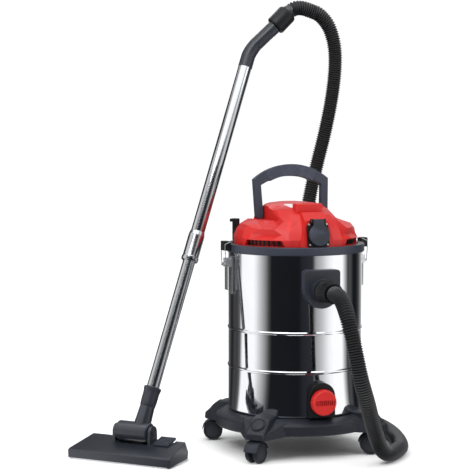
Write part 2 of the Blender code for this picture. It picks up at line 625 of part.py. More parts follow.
def make_head_trim():
    panel = prism("top_panel", rounded(0.0560, 0.0560, 0.006), 0.0018, "grey", location=PANEL_PLACE,
                  rotation=PANEL_TILT)
    bevel(panel, 0.0006)
    switch = prism("power_switch", [(-0.0078, -0.0060), (0.0078, -0.0060), (0.0085, 0.0020),
                                    (0.0, 0.0032), (-0.0085, 0.0020)], 0.0210, "red",
                   location=(0, -0.0800, 0.6265), rotation=(radians(90), 0, radians(90)))
    bevel(switch, 0.0006)
    ring("cord_gland", 0.0040, 0.0088, -0.0180, -0.0004, 16, "black", location=(0, 0.1570, 0.5350),
         rotation=(radians(90), 0, 0))
    hook = [(-0.0125, 0.0), (0.0125, 0.0), (0.0125, 0.0560), (-0.0125, 0.0560)]
    angle = radians(-136)
    x, y = around(0.1682, angle)
    holder = prism("cord_hook", hook, 0.0100, "black", location=(x, y, RIM_TOP + GAP),
                   rotation=(radians(90), 0, angle))
    bevel(holder, 0.0015)
    lip = block("cord_hook_lip", (0.025, 0.014, 0.008), location=(*around(0.1730, angle), 0.5768),
                rotation=(0, 0, angle))
    combine(holder, lip, "UNION")


def outlet_frame():
    """The outlet's own frame, its Z up the cover's front column."""
    return empty("outlet_frame", (0, -0.1516, 0.5585), (radians(-9), 0, 0), MACHINE)


def make_outlet(frame):
    corners = rounded(0.0560, 0.0560, 0.007)
    tab = [(-0.0170, 0.0345), (0.0170, 0.0345)]
    outline = [(x, y - 0.0060) for x, y in corners[8:] + corners[:4]] + tab[::-1]
    outline += [(x, y - 0.0060) for x, y in corners[4:8]]
    plate = prism("outlet_plate", outline, 0.0080, "black", rotation=(radians(90), 0, 0), parent=frame)
    combine(plate, cylinder("socket_well", 0.0190, 0.012, 24, location=(0, -0.0050, -0.0030),
                            rotation=(radians(90), 0, 0), parent=frame))
    for cheek in (-1, 1):
        ear = block(f"outlet_ear_{cheek}", (0.0040, 0.0104, 0.0090),
                    location=(0.0170 * cheek, -0.0067, 0.0300), parent=frame)
        combine(plate, ear, "UNION")
    pin_at = (0, -0.0088, 0.0300)
    combine(plate, cylinder("outlet_pin_hole", 0.0017, 0.05, 12, location=pin_at,
                            rotation=(0, radians(90), 0), parent=frame))
    combine(plate, block("outlet_back", (0.0700, 0.0500, 0.0900), location=(0, 0.0285, 0), parent=frame))
    outline = arc(0, -0.0055, 0.0272, -238, 58, 24) + [(0.0138, 0.0335), (-0.0138, 0.0335)]
    flap = prism("outlet_flap", outline, 0.0070, "charcoal", location=(0, -0.0107, 0),
                 rotation=(radians(90), 0, 0), parent=frame)
    bevel(flap, 0.0020)
    combine(flap, cylinder("flap_knuckle", 0.0036, 0.0290, 16, location=pin_at,
                           rotation=(0, radians(90), 0), parent=frame), "UNION")
    combine(flap, cylinder("flap_bore", 0.0017, 0.05, 12, location=pin_at, rotation=(0, radians(90), 0),
                           parent=frame))
    cylinder("outlet_pin", 0.0014, 0.0380, 12, "zinc", location=pin_at, rotation=(0, radians(90), 0),
             parent=frame)
    spots = (("top_left", -0.0235, 0.0215), ("top_right", 0.0235, 0.0215),
             ("bottom_left", -0.0235, -0.0290), ("bottom_right", 0.0235, -0.0290))
    for name, x, z in spots:
        cylinder(f"outlet_screw_{name}", 0.0024, 0.0012, 12, "zinc", location=(x, -0.0049, z),
                 rotation=(radians(90), 0, 0), parent=frame)


def make_inside():
    """The motor, its fan, the float valve and the cartridge filter."""
    turned("motor", [(0.0, 0.5960), (0.020, 0.5960), (0.030, 0.5900), (0.052, 0.5860), (0.052, 0.5400),
                     (0.0, 0.5400)], 32, "zinc", closed=False)
    shaft = cylinder("motor_shaft", 0.0035, 0.0200, 12, location=(0, 0, 0.5350))
    combine(bpy.data.objects["motor"], shaft, "UNION")
    turned("impeller", [(0.0480, 0.5370), (0.0480, 0.5240), (0.0040, 0.5240), (0.0040, 0.5370)], 32,
           "grey")
    cage = turned("float_cage", [(0.0, 0.4430), (0.0300, 0.4430), (0.0300, 0.5170), (0.0340, 0.5170),
                                 (0.0340, 0.4400), (0.0, 0.4400)], 24, "black", closed=False)
    for quarter in range(2):
        combine(cage, block(f"cage_window_{quarter}", (0.100, 0.030, 0.044), location=(0, 0, 0.4740),
                            rotation=(0, 0, quarter * pi / 2)))
    turned("float_ball", [(0.0, 0.0220), (0.0120, 0.0200), (0.0210, 0.0120), (0.0240, 0.0),
                          (0.0210, -0.0120), (0.0120, -0.0200), (0.0, -0.0220)], 16, "ivory",
           closed=False, location=(0, 0, 0.4656))
    turned("cartridge_filter", [(0.0, 0.3660), (0.0560, 0.3660), (0.0560, 0.5170), (0.0660, 0.5170),
                                (0.0660, 0.3600), (0.0, 0.3600)], 32, "paper", closed=False)


def make_handle():
    """The carry handle, upright, pivoting on two stubs in the cover's sides."""
    def half_outline(span, foot_z, corner_z, peak_z, count):
        rise = peak_z - corner_z
        radius = (span ** 2 + rise ** 2) / (2 * rise)
        reach = acos((radius - rise) / radius)
        bow = [(radius * sin(reach * (1 - i / count)),
                peak_z - radius + radius * cos(reach * (1 - i / count)))
               for i in range(count + 1)]
        return [(span - 0.0040, foot_z)] + bow

    outer = half_outline(HANDLE_HALF, 0.5950, 0.6860, 0.7231, 8)
    inner = half_outline(HANDLE_HALF - 0.0178, 0.5950, 0.6700, 0.6930, 8)
    foot = arc(HANDLE_HALF - 0.0124, 0.5940, 0.0089, -10, -170, 8)
    right = outer[::-1] + foot + inner
    left = [(-x, z) for x, z in right[::-1]][1:-1]
    outline = [(x, z - HANDLE_PIVOT.z) for x, z in right + left]
    pivot = empty("handle_pivot", HANDLE_PIVOT, (-HANDLE_LEAN, 0, 0), MACHINE)
    handle = prism("carry_handle", outline, 0.0200, "charcoal", rotation=(radians(90), 0, 0),
                   parent=pivot)
    bevel(handle, 0.003)
    for sign in (-1, 1):
        stub = cylinder(f"handle_stub_{sign}", 0.0044, 0.0130, 16, location=(0.0755 * sign, 0, 0),
                        rotation=(0, radians(90), 0), parent=pivot)
        combine(handle, stub, "UNION")


# Wand and floor head

def wand_frame():
    """An empty at the wand's top, with +Z up along the wand and +Y towards its slide button."""
    along = Vector((cos(NOZZLE_YAW), sin(NOZZLE_YAW), 0.0))
    foot = NOZZLE_PIVOT + along * WAND_OFFSET
    up = (WAND_TOP - foot).normalized()
    side = up.cross(Vector((0, 0, 1))).normalized()
    turn = Matrix((side, up.cross(side), up)).transposed()
    return empty("wand_frame", WAND_TOP, turn.to_euler(), MACHINE), (WAND_TOP - foot).length


def make_wand():
    frame, length = wand_frame()
    turned("upper_tube", [(TUBE_R, -0.0004), (TUBE_R, -SLEEVE_TOP - 0.030),
                          (TUBE_R - 0.0010, -SLEEVE_TOP - 0.030), (TUBE_R - 0.0010, -0.0004)], 32,
           "chrome", parent=frame)
    sleeve = turned("tube_sleeve", [(0.0192, -SLEEVE_TOP), (0.0222, -SLEEVE_TOP - 0.006),
                                    (0.0222, -SLEEVE_END + 0.004), (0.0196, -SLEEVE_END),
                                    (0.0166, -SLEEVE_END), (0.0166, -SLEEVE_TOP - 0.0303),
                                    (TUBE_R + GAP, -SLEEVE_TOP - 0.0303), (TUBE_R + GAP, -SLEEVE_TOP)],
                    32, "chrome", parent=frame)
    middle = -(SLEEVE_TOP + SLEEVE_END) / 2
    combine(sleeve, block("button_pocket", (0.0124, 0.0080, 0.0344), location=(0, 0.0223, middle),
                          parent=frame))
    button = block("release_button", (0.0116, 0.0050, 0.0220), "chrome",
                   location=(0, 0.0214, middle - 0.0050), parent=frame)
    bevel(button, 0.0010)
    lower = [(LOWER_R, -SLEEVE_END + 0.0500), (LOWER_R, -NECK_TOP - 0.0280),
             (LOWER_R - 0.0010, -NECK_TOP - 0.0280), (LOWER_R - 0.0010, -SLEEVE_END + 0.0500)]
    turned("lower_tube", lower, 32, "chrome", parent=frame)
    turned("neck_cuff", [(0.0196, -NECK_TOP + 0.002), (0.0222, -NECK_TOP), (0.0222, -NECK_TOP - 0.006),
                         (0.0205, -NECK_TOP - 0.012), (0.0190, -NECK_TOP - 0.048),
                         (0.0150, -NECK_TOP - 0.048), (0.0150, -NECK_TOP - 0.0283),
                         (LOWER_R + GAP, -NECK_TOP - 0.0283), (LOWER_R + GAP, -NECK_TOP + 0.002)], 32,
           "charcoal", parent=frame)
    return frame, length


def make_neck(frame, length):
    """The swivelling elbow: a cone on the wand's axis that runs into a barrel across the floor head."""
    nozzle = empty("nozzle_frame", NOZZLE_PIVOT, (0, 0, NOZZLE_YAW), MACHINE)
    neck = cylinder("neck_barrel", 0.0250, 0.0900, 28, "charcoal", rotation=(0, radians(90), 0),
                    parent=nozzle)
    bevel(neck, 0.003, 1, radians(60))
    top = -NECK_TOP - 0.0486
    cone = turned("neck_cone", [(0.0, top), (0.0185, top), (0.0210, -length + 0.018), (0.0210, -length),
                                (0.0, -length)], 24, closed=False, parent=frame)
    combine(neck, cone, "UNION")
    for sign in (-1, 1):
        stub = cylinder(f"barrel_stub_{sign}", 0.0058, 0.0120, 16, location=(0.0490 * sign, 0, 0),
                        rotation=(0, radians(90), 0), parent=nozzle)
        combine(neck, stub, "UNION")
    airway = cylinder("neck_airway", 0.0150, 0.070, 24, location=(0, 0, -length + 0.030), parent=frame)
    combine(neck, airway)
    outlet = cylinder("barrel_airway", 0.0140, 0.040, 24, location=(0, 0, -0.020), parent=nozzle)
    combine(neck, outlet)
    return nozzle


def make_floor_head(nozzle):
    floor = -NOZZLE_PIVOT.z
    front, back = -0.0820, 0.0400

    def half_width(y):
        return 0.1450 - (y - front) / (back - front) * 0.0150

    side = [(front + 0.0010, 0.0024), (back - 0.0040, 0.0024), (back, 0.0200), (0.0200, 0.0480),
            (front + 0.006, 0.0262), (front, 0.0226)]
    ends = [[Vector((sign * half_width(y), y, z + floor)) for y, z in side] for sign in (-1, 1)]
    shell = loft("floor_head", ends, "charcoal", parent=nozzle)
    bevel(shell, 0.0015, 1)
    for sign in (-1, 1):
        ear = [(-0.0180, floor + 0.0300), (0.0200, floor + 0.0300)] + arc(0, 0, 0.0180, 4, 176, 9)
        bracket = prism(f"head_ear_{sign}", ear, 0.0070, location=(0.0500 * sign, 0, 0),
                        rotation=(radians(90), 0, radians(90)), parent=nozzle)
        combine(bracket, cylinder(f"ear_bore_{sign}", 0.0062, 0.0200, 14, location=(0.0500 * sign, 0, 0),
                                  rotation=(0, radians(90), 0), parent=nozzle))
        combine(shell, bracket, "UNION")
    combine(shell, cylinder("barrel_seat", 0.0258, 0.0920, 28, rotation=(0, radians(90), 0),
                            parent=nozzle))
    combine(shell, block("suction_chamber", (0.2500, 0.0560, 0.0300), location=(0, -0.0460, floor),
                         parent=nozzle))
    combine(shell, block("air_throat", (0.0800, 0.0300, 0.0860), location=(0, -0.0040, floor),
                         parent=nozzle))
    combine(shell, block("wheel_well", (0.1760, 0.0220, 0.0390), location=(0, 0.0230, floor),
                         parent=nozzle))
    slope = atan2(0.0480 - 0.0262, 0.0200 - front - 0.006)
    pedal_at = (0.0850, 0.0020, floor + 0.0455)
    combine(shell, block("pedal_recess", (0.0440, 0.0460, 0.0160), location=pedal_at,
                         rotation=(slope, 0, 0), parent=nozzle))
    pedal = block("foot_pedal", (0.0420, 0.0430, 0.0060), "charcoal",
                  location=(0.0850, 0.0010, floor + 0.0475), rotation=(slope + radians(4), 0, 0),
                  parent=nozzle)
    bevel(pedal, 0.0010)
    combine(pedal, block("pedal_under", (0.0500, 0.0600, 0.0100),
                         location=(0.0850, 0.0020, floor + 0.0365), rotation=(slope, 0, 0),
                         parent=nozzle))
    sole = block("sole_plate", (0.2700, 0.1100, 0.0020), "zinc", location=(0, -0.0230, floor + 0.0010),
                 parent=nozzle)
    combine(sole, block("mouth", (0.2200, 0.0340, 0.0200), location=(0, -0.0400, floor), parent=nozzle))
    combine(sole, block("brush_slot", (0.2300, 0.0070, 0.0200), location=(0, -0.0690, floor),
                        parent=nozzle))
    combine(sole, block("wheel_slot", (0.1700, 0.0200, 0.0200), location=(0, 0.0230, floor),
                        parent=nozzle))
    brush = block("brush_strip", (0.2260, 0.0050, 0.0110), "bristle",
                  location=(0, -0.0690, floor + 0.0073), parent=nozzle)
    bevel(brush, 0.0006)
    wheels = [(0.0, 0.0800), (0.0078, 0.0800), (0.0085, 0.0790), (0.0085, 0.0710), (0.0030, 0.0700),
              (0.0030, -0.0700), (0.0085, -0.0710), (0.0085, -0.0790), (0.0078, -0.0800), (0.0, -0.0800)]
    turned("nozzle_wheels", wheels, 20, "black", closed=False, location=(0, 0.0230, floor + 0.0087),
           rotation=(0, radians(90), 0), parent=nozzle)


# Hose and its handle

def make_hose():
    route = smooth_route(HOSE_ROUTE, HOSE_STEP)
    end = Vector(HOSE_ROUTE[-1])
    run = COLLAR_FOOT - end
    inward, length = run.normalized(), run.length
    line = [route[0],
            route[0] - Vector((0, HOSE_STRAIGHT, 0))] + route[1:-1] + [end - inward * HOSE_STRAIGHT, end]
    wire("hose", line, HOSE_R, "hose", resolution=3)
    aim = inward.to_track_quat("Z", "Y").to_euler()
    collar_frame = empty("collar_frame", end, aim, MACHINE)
    collar = [(0.0235, length - GAP), (0.0262, length - 0.0035), (0.0262, 0.0050), (0.0235, GAP),
              (0.0170, GAP), (0.0170, length - GAP)]
    turned("hose_collar", collar, 32, "black", parent=collar_frame)
    wand_up = (WAND_TOP - (NOZZLE_PIVOT + Vector((cos(NOZZLE_YAW), sin(NOZZLE_YAW),
                                                  0)) * WAND_OFFSET)).normalized()
    elbow = WAND_TOP + wand_up * 0.0500
    start = COLLAR_FOOT + inward * 0.0030
    bend = [elbow.lerp(WAND_TOP, 0.32), elbow + (WAND_TOP - elbow) * 0.12 + (start - elbow) * 0.07,
            elbow.lerp(start, 0.22)]
    wire("hose_handle", [WAND_TOP] + bend + [start, COLLAR_FOOT + inward * GAP], 0.0185, "charcoal",
         resolution=4)


def make_vacuum():
    make_tub()
    make_trolley()
    rolls = (("front_left", -1, -1, radians(36)), ("front_right", 1, -1, radians(-15)),
             ("rear_right", 1, 1, radians(20)), ("rear_left", -1, 1, radians(-20)))
    for side, sx, sy, roll in rolls:
        make_caster(side, sx, sy, roll)
    make_inlet()
    make_drain()
    make_latch("left", -1)
    make_latch("right", 1)
    make_lid()
    outlet = outlet_frame()
    make_cover(outlet)
    make_vent("left", -1)
    make_vent("right", 1)
    make_head_trim()
    make_outlet(outlet)
    make_inside()
    make_handle()
    frame, length = make_wand()
    nozzle = make_neck(frame, length)
    make_floor_head(nozzle)
    make_hose()


make_vacuum()
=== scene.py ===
"""Looks of the wet and dry shop vacuum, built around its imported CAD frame. Metres, +Z up."""

import json
from math import atan2, ceil, cos, pi, radians, sin

import bmesh
import bpy
from mathutils import Matrix, Vector


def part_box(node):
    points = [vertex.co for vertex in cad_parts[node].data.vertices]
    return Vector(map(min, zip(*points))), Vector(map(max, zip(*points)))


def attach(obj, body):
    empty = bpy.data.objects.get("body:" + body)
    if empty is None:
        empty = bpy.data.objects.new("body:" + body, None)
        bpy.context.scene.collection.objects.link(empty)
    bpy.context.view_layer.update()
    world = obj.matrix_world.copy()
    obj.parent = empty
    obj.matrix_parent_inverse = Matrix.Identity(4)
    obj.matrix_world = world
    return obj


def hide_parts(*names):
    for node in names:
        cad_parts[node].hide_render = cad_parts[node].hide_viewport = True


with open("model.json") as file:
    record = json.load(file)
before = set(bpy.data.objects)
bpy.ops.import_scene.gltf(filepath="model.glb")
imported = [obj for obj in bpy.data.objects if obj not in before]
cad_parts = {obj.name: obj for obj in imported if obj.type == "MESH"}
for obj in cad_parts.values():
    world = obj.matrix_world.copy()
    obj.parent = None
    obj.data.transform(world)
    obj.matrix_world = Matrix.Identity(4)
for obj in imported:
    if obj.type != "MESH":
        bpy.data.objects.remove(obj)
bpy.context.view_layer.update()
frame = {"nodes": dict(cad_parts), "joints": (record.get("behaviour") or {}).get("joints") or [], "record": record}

RECORD = frame["record"]
NODES = frame["nodes"]
JOINTS = {joint["name"]: joint for joint in frame["joints"]}
BODY_OF = {node: body for body, nodes in RECORD["behaviour"]["bodies"].items() for node in nodes}
SLOT_OF = {part["node"]: part["material_slot"] for part in RECORD["subparts"]}

TUB_LOW, TUB_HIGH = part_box("tub")
AXIS = Vector(((TUB_LOW.x + TUB_HIGH.x) / 2, (TUB_LOW.y + TUB_HIGH.y) / 2, 0.0))
shift = Matrix.Translation
MACHINE = shift(AXIS)
CORNERS = ("front_left", "front_right", "rear_left", "rear_right")


def added(name, data):
    """A new object in the scene."""
    made = bpy.data.objects.new(name, data)
    bpy.context.scene.collection.objects.link(made)
    return made


def as_mesh(name, shape):
    """A bmesh turned into a mesh and freed."""
    mesh = bpy.data.meshes.new(name)
    shape.to_mesh(mesh)
    shape.free()
    return mesh


# Camera

CAMERA_AT = Vector((-1.3965, -4.0059, 0.868))
CAMERA_TURN = (radians(85.71), 0.0, radians(-19.5))
LENS = 130.5                         # millimetres on a 36 mm sensor


def make_camera():
    data = bpy.data.cameras.new("camera")
    data.lens = LENS
    data.sensor_width = 36.0
    data.dof.use_dof = False
    camera = added("camera", data)
    camera.location = CAMERA_AT
    camera.rotation_euler = CAMERA_TURN
    bpy.context.scene.camera = camera


make_camera()


# Material nodes

class Look:
    """A Principled material and short ways to build its nodes."""

    def __init__(self, name):
        self.mat = bpy.data.materials.new(name)
        self.mat.use_nodes = True
        self.tree = self.mat.node_tree
        self.shader = self.tree.nodes["Principled BSDF"]
        self.place = self.tree.nodes.new("ShaderNodeTexCoord").outputs["Object"]

    def node(self, kind, inputs=None, **values):
        made = self.tree.nodes.new(kind)
        for key, value in values.items():
            setattr(made, key, value)
        for key, value in (inputs or {}).items():
            made.inputs[key].default_value = value
        return made

    def link(self, source, target):
        self.tree.links.new(source, target)

    def constant(self, **values):
        for key, value in values.items():
            self.shader.inputs[key.replace("_", " ")].default_value = value

    def stretched(self, scale):
        mapping = self.node("ShaderNodeMapping", {"Scale": scale})
        self.link(self.place, mapping.inputs["Vector"])
        return mapping.outputs["Vector"]

    def noise(self, scale, detail=2.0, stretch=(1, 1, 1), roughness=0.5):
        made = self.node("ShaderNodeTexNoise", {"Scale": scale, "Detail": detail, "Roughness": roughness})
        self.link(self.stretched(stretch), made.inputs["Vector"])
        return made.outputs["Fac"]

    def cells(self, scale):
        made = self.node("ShaderNodeTexVoronoi", {"Scale": scale})
        self.link(self.place, made.inputs["Vector"])
        return made.outputs["Distance"]

    def spread(self, value, low, high, start=0.3, end=0.7):
        limits = {"From Min": start, "From Max": end, "To Min": low, "To Max": high}
        made = self.node("ShaderNodeMapRange", limits)
        self.link(value, made.inputs["Value"])
        return made.outputs["Result"]

    def colours(self, value, *stops):
        made = self.node("ShaderNodeValToRGB")
        ramp = made.color_ramp
        while len(ramp.elements) < len(stops):
            ramp.elements.new(0.5)
        for element, (position, colour) in zip(ramp.elements, stops):
            element.position = position
            element.color = (*colour, 1.0)
        self.link(value, made.inputs["Fac"])
        return made.outputs["Color"]

    def mixed(self, factor, first, second, blend="MIX"):
        made = self.node("ShaderNodeMix", data_type="RGBA", blend_type=blend)
        self.link(factor, made.inputs["Factor"])
        self.link(first, made.inputs["A"])
        self.link(second, made.inputs["B"])
        return made.outputs["Result"]

    def edges(self, low=0.52, high=0.6):
        """Mask of the surface's sharp edges, where the colour is made lighter as rubbed wear and as a painted
        highlight.
        """
        geometry = self.node("ShaderNodeNewGeometry")
        return self.spread(geometry.outputs["Pointiness"], 0.0, 1.0, low, high)

    def bump(self, height, depth, strength=0.6, under=None):
        made = self.node("ShaderNodeBump", {"Strength": strength, "Distance": depth})
        self.link(height, made.inputs["Height"])
        if under:
            self.link(under, made.inputs["Normal"])
        return made.outputs["Normal"]

    def finish(self, colour=None, roughness=None, normal=None):
        for name, socket in (("Base Color", colour), ("Roughness", roughness), ("Normal", normal)):
            if socket:
                self.link(socket, self.shader.inputs[name])
        return self.mat


def scaled(colour, factor):
    return tuple(min(1.0, channel * factor) for channel in colour)


def moulded(name, colour, rough, grain=900.0, depth=0.00008, wear_and_highlight=1.7, shine=0.5, even=1.0):
    """Injection-moulded plastic: a fine spark grain, slow shifts in tone and gloss, edges lighter as rubbed wear
    and as a painted highlight.
    """
    look = Look(name)
    darker, lighter = scaled(colour, 1 - 0.12 * even), scaled(colour, 1 + 0.12 * even)
    tone = look.colours(look.noise(9.0, 3.0), (0.3, darker), (0.7, lighter))
    # Edge colour: partly rubbed wear, partly a painted highlight along the edges.
    dull, bright = scaled(colour, wear_and_highlight * 0.8), scaled(colour, wear_and_highlight * 1.2)
    rubbed_and_highlit = look.colours(look.noise(60.0), (0.3, dull), (0.7, bright))
    tone = look.mixed(look.edges(), tone, rubbed_and_highlit)
    gloss = look.spread(look.noise(34.0, 4.0), rough - 0.05 * even, rough + 0.06 * even)
    grained = look.bump(look.cells(grain), depth, 0.5)
    waved = look.bump(look.noise(22.0, 1.0), 0.0006 * even, 0.1, grained)
    look.constant(Specular_IOR_Level=shine)
    return look.finish(tone, gloss, waved)


def polished(name, colour, rough, brush=(1, 1, 1), depth=0.00002, smudge=0.05):
    """Bright metal: faint drawn lines along its grain, with smudges that dull the polish."""
    look = Look(name)
    lines = look.noise(260.0, 3.0, brush, 0.6)
    marks = look.noise(7.0, 5.0, (1, 1, 0.6), 0.62)
    tone = look.colours(marks, (0.25, scaled(colour, 0.93)), (0.75, scaled(colour, 1.04)))
    gloss = look.spread(marks, rough, rough + smudge, 0.35, 0.75)
    look.constant(Metallic=1.0)
    return look.finish(tone, gloss, look.bump(lines, depth, 0.35))


def rubbery(name, colour, rough):
    """Matt rubber or fibre, a little blotched."""
    look = Look(name)
    tone = look.colours(look.noise(30.0, 4.0), (0.3, scaled(colour, 0.8)), (0.7, scaled(colour, 1.4)))
    gloss = look.spread(look.noise(80.0), rough - 0.08, rough + 0.06)
    return look.finish(tone, gloss, look.bump(look.noise(700.0, 2.0), 0.0001, 0.5))


def papery(name, colour):
    """Filter paper with fibres across it."""
    look = Look(name)
    fibre = look.noise(420.0, 5.0, (1, 1, 0.35), 0.7)
    tone = look.colours(fibre, (0.3, scaled(colour, 0.82)), (0.7, scaled(colour, 1.06)))
    gloss = look.spread(fibre, 0.82, 0.95)
    return look.finish(tone, gloss, look.bump(fibre, 0.0002, 0.6))


def corrugated(name, crest, valley, rough):
    """Glossy ribs with painted light: crests made lighter as a painted highlight, valleys matt and nearly black as
    painted shade.
    """
    look = Look(name)
    rib = look.node("ShaderNodeAttribute", attribute_name="rib")
    raised = look.spread(rib.outputs["Fac"], 0.0, 1.0, 0.45, 1.0)
    # Lighter crests are a painted highlight; near-black valleys are painted shade.
    crest_highlight = look.colours(look.noise(45.0, 3.0), (0.3, scaled(crest, 0.85)), (0.7, scaled(crest, 1.2)))
    painted_shade = look.colours(look.noise(45.0, 3.0), (0.3, valley), (0.7, scaled(valley, 1.3)))
    gloss = look.spread(raised, 0.75, rough, 0.0, 1.0)
    look.constant(Specular_IOR_Level=0.75)
    return look.finish(look.mixed(raised, painted_shade, crest_highlight), gloss, look.bump(look.cells(1500.0), 0.00002, 0.4))


CHARCOAL = (0.017, 0.02, 0.029)
LOOKS = {
    "steel": polished("mirror_steel", (0.86, 0.87, 0.9), 0.045, (1, 1, 0.01)),
    "chrome": polished("chromed_tube", (0.5, 0.51, 0.53), 0.15, (1, 1, 0.02)),
    "latch": polished("bright_latch", (0.86, 0.87, 0.89), 0.38),
    "zinc": polished("zinc_steel", (0.7, 0.71, 0.73), 0.36, (1, 1, 1), 0.00004),
    "charcoal": moulded("charcoal_plastic", CHARCOAL, 0.36, wear_and_highlight=2.4),
    "trolley": moulded("trolley_plastic", scaled(CHARCOAL, 0.72), 0.46, 700.0, 0.00012, shine=0.35),
    "grip": moulded("grip_plastic", scaled(CHARCOAL, 2.0), 0.5, 800.0, 0.00012, shine=0.35),
    "band": moulded("band_plastic", scaled(CHARCOAL, 1.6), 0.4, shine=0.35),
    # The head's edges are made much lighter, mostly as a painted highlight.
    "head": moulded("head_plastic", scaled(CHARCOAL, 0.8), 0.3, 1200.0, 0.00003, 3.0, shine=0.65, even=0.2),
    "black": moulded("black_plastic", (0.006, 0.0065, 0.008), 0.4, shine=0.3),
    "red": moulded("red_plastic", (0.5, 0.008, 0.006), 0.42, 1300.0, 0.00003, 1.05, shine=0.45, even=0.25),
    "pale": moulded("pale_plastic", (0.55, 0.56, 0.58), 0.42),
    # The hose's crest colour is a painted highlight, and its valley colour is painted shade.
    "hose": corrugated("hose_plastic", (0.028, 0.029, 0.034), (0.0005, 0.0005, 0.0007), 0.24),
    "rubber": rubbery("seal_rubber", (0.012, 0.012, 0.014), 0.72),
    "paper": papery("filter_paper", (0.74, 0.7, 0.6)),
    "bristle": rubbery("brush_fibre", (0.1, 0.02, 0.02), 0.8),
    # Near-black material for the floor of the cap's slot: painted shade.
    "painted_shade": rubbery("painted_slot_shade", (0.003, 0.003, 0.004), 0.6),
}


# Mesh building

def smooth_by_angle(mesh, angle=32):
    mesh.shade_smooth()
    mesh.set_sharp_from_angle(angle=radians(angle))


def place(name, shape, look, body, slot, replaces=(), angle=32):
    """A finished bmesh as a piece: its look, its body and the CAD nodes that it stands for. The slot is not used.
    """
    bmesh.ops.recalc_face_normals(shape, faces=shape.faces)
    mesh = as_mesh(name, shape)
    smooth_by_angle(mesh, angle)
    mesh.materials.append(LOOKS[look])
    piece = added(name, mesh)
    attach(piece, body)
    if replaces:
        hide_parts(*replaces)
    return piece


def extra(name, node, shape, look):
    """A piece beside a CAD node, on its body."""
    return place(name, shape, look, BODY_OF[node], SLOT_OF[node])


def stands_for(name, node, shape, look, angle=32):
    """A piece in a CAD node's place, on its body."""
    return place(name, shape, look, BODY_OF[node], SLOT_OF[node], (node,), angle)


def rounded_edges(piece, width, segments=3, angle=28):
    edge = piece.modifiers.new("edge", "BEVEL")
    edge.width = width
    edge.segments = segments
    edge.limit_method = "ANGLE"
    edge.angle_limit = radians(angle)
    edge.use_clamp_overlap = True
    edge.harden_normals = False
    weight = piece.modifiers.new("normals", "WEIGHTED_NORMAL")
    weight.keep_sharp = True
    return piece


FLAT = 1.0                           # degrees between faces that count as one


def node_shape(node):
    """A CAD node's own shape with its flat faces joined up."""
    shape = bmesh.new()
    shape.from_mesh(NODES[node].data)
    bmesh.ops.remove_doubles(shape, verts=shape.verts, dist=0.00001)
    bmesh.ops.dissolve_limit(shape, angle_limit=radians(FLAT), verts=shape.verts, edges=shape.edges)
    return shape


def refined(node, look, width, segments):
    """A CAD node's shape with rounded edges and a material."""
    rounded_edges(stands_for(f"fine_{node}", node, node_shape(node), look, 60), width, segments)


def bridged(shape, upper, lower):
    """Faces between two rings of points."""
    for k in range(len(upper)):
        n = (k + 1) % len(upper)
        shape.faces.new((upper[k], upper[n], lower[n], lower[k]))


def turned_shape(profile, matrix, segments, closed=True, wave=None):
    """A profile of (radius, height) turned about the matrix's Z.

    wave(angle, radius, height) gives what is added to the radius there.
    """
    shape = bmesh.new()
    rows = []
    for r, z in profile:
        row = []
        for k in range(segments):
            a = 2 * pi * k / segments
            reach = r + (wave(a, r, z) if wave else 0.0)
            row.append(shape.verts.new(matrix @ Vector((reach * cos(a), reach * sin(a), z))))
        rows.append(row)
    pairs = list(zip(rows, rows[1:]))
    if closed:
        pairs.append((rows[-1], rows[0]))
    for upper, lower in pairs:
        for k in range(segments):
            n = (k + 1) % segments
            shape.faces.new((upper[k], lower[k], lower[n], upper[n]))
    if not closed:
        for row in (rows[0], rows[-1]):
            shape.faces.new(row)
    bmesh.ops.remove_doubles(shape, verts=shape.verts, dist=0.0000001)
    return shape


def softened(profile, radius=0.0006, steps=3, closed=True):
    """A profile with each corner rounded off by an arc-like curve."""
    count = len(profile)
    points = []
    for i, (r, z) in enumerate(profile):
        here = Vector((r, z))
        if not closed and i in (0, count - 1):
            points.append((r, z))
            continue
        before, after = Vector(profile[i - 1]) - here, Vector(profile[(i + 1) % count]) - here
        cut = min(radius, before.length * 0.45, after.length * 0.45)
        start, end = here + before.normalized() * cut, here + after.normalized() * cut
        for step in range(steps + 1):
            t = step / steps
            point = start * (1 - t) ** 2 + here * 2 * t * (1 - t) + end * t ** 2
            points.append((point.x, point.y))
    return points


def on_axis(point, direction, side=(0, 0, 1)):
    """A frame with its origin at the point and its Z along the direction."""
    up = Vector(direction).normalized()
    across = Vector(side) - up * up.dot(Vector(side))
    if across.length < 0.001:
        across = Vector((1, 0, 0)) - up * up.x
    across.normalize()
    turn = Matrix((across, up.cross(across), up)).transposed().to_4x4()
    return shift(Vector(point)) @ turn


def span(node, matrix):
    """Lowest and highest corners of a CAD node in that frame."""
    inverse = matrix.inverted()
    points = [inverse @ v.co for v in NODES[node].data.vertices]
    low = Vector([min(p[i] for p in points) for i in range(3)])
    high = Vector([max(p[i] for p in points) for i in range(3)])
    return low, high


def box_shape(size, matrix):
    shape = bmesh.new()
    bmesh.ops.create_cube(shape, size=1.0, matrix=matrix @ Matrix.Diagonal((*size, 1.0)))
    return shape


def merged(*shapes):
    """Several shapes as one."""
    whole = bmesh.new()
    for shape in shapes:
        mesh = as_mesh("part", shape)
        whole.from_mesh(mesh)
        bpy.data.meshes.remove(mesh)
    return whole


# Hose

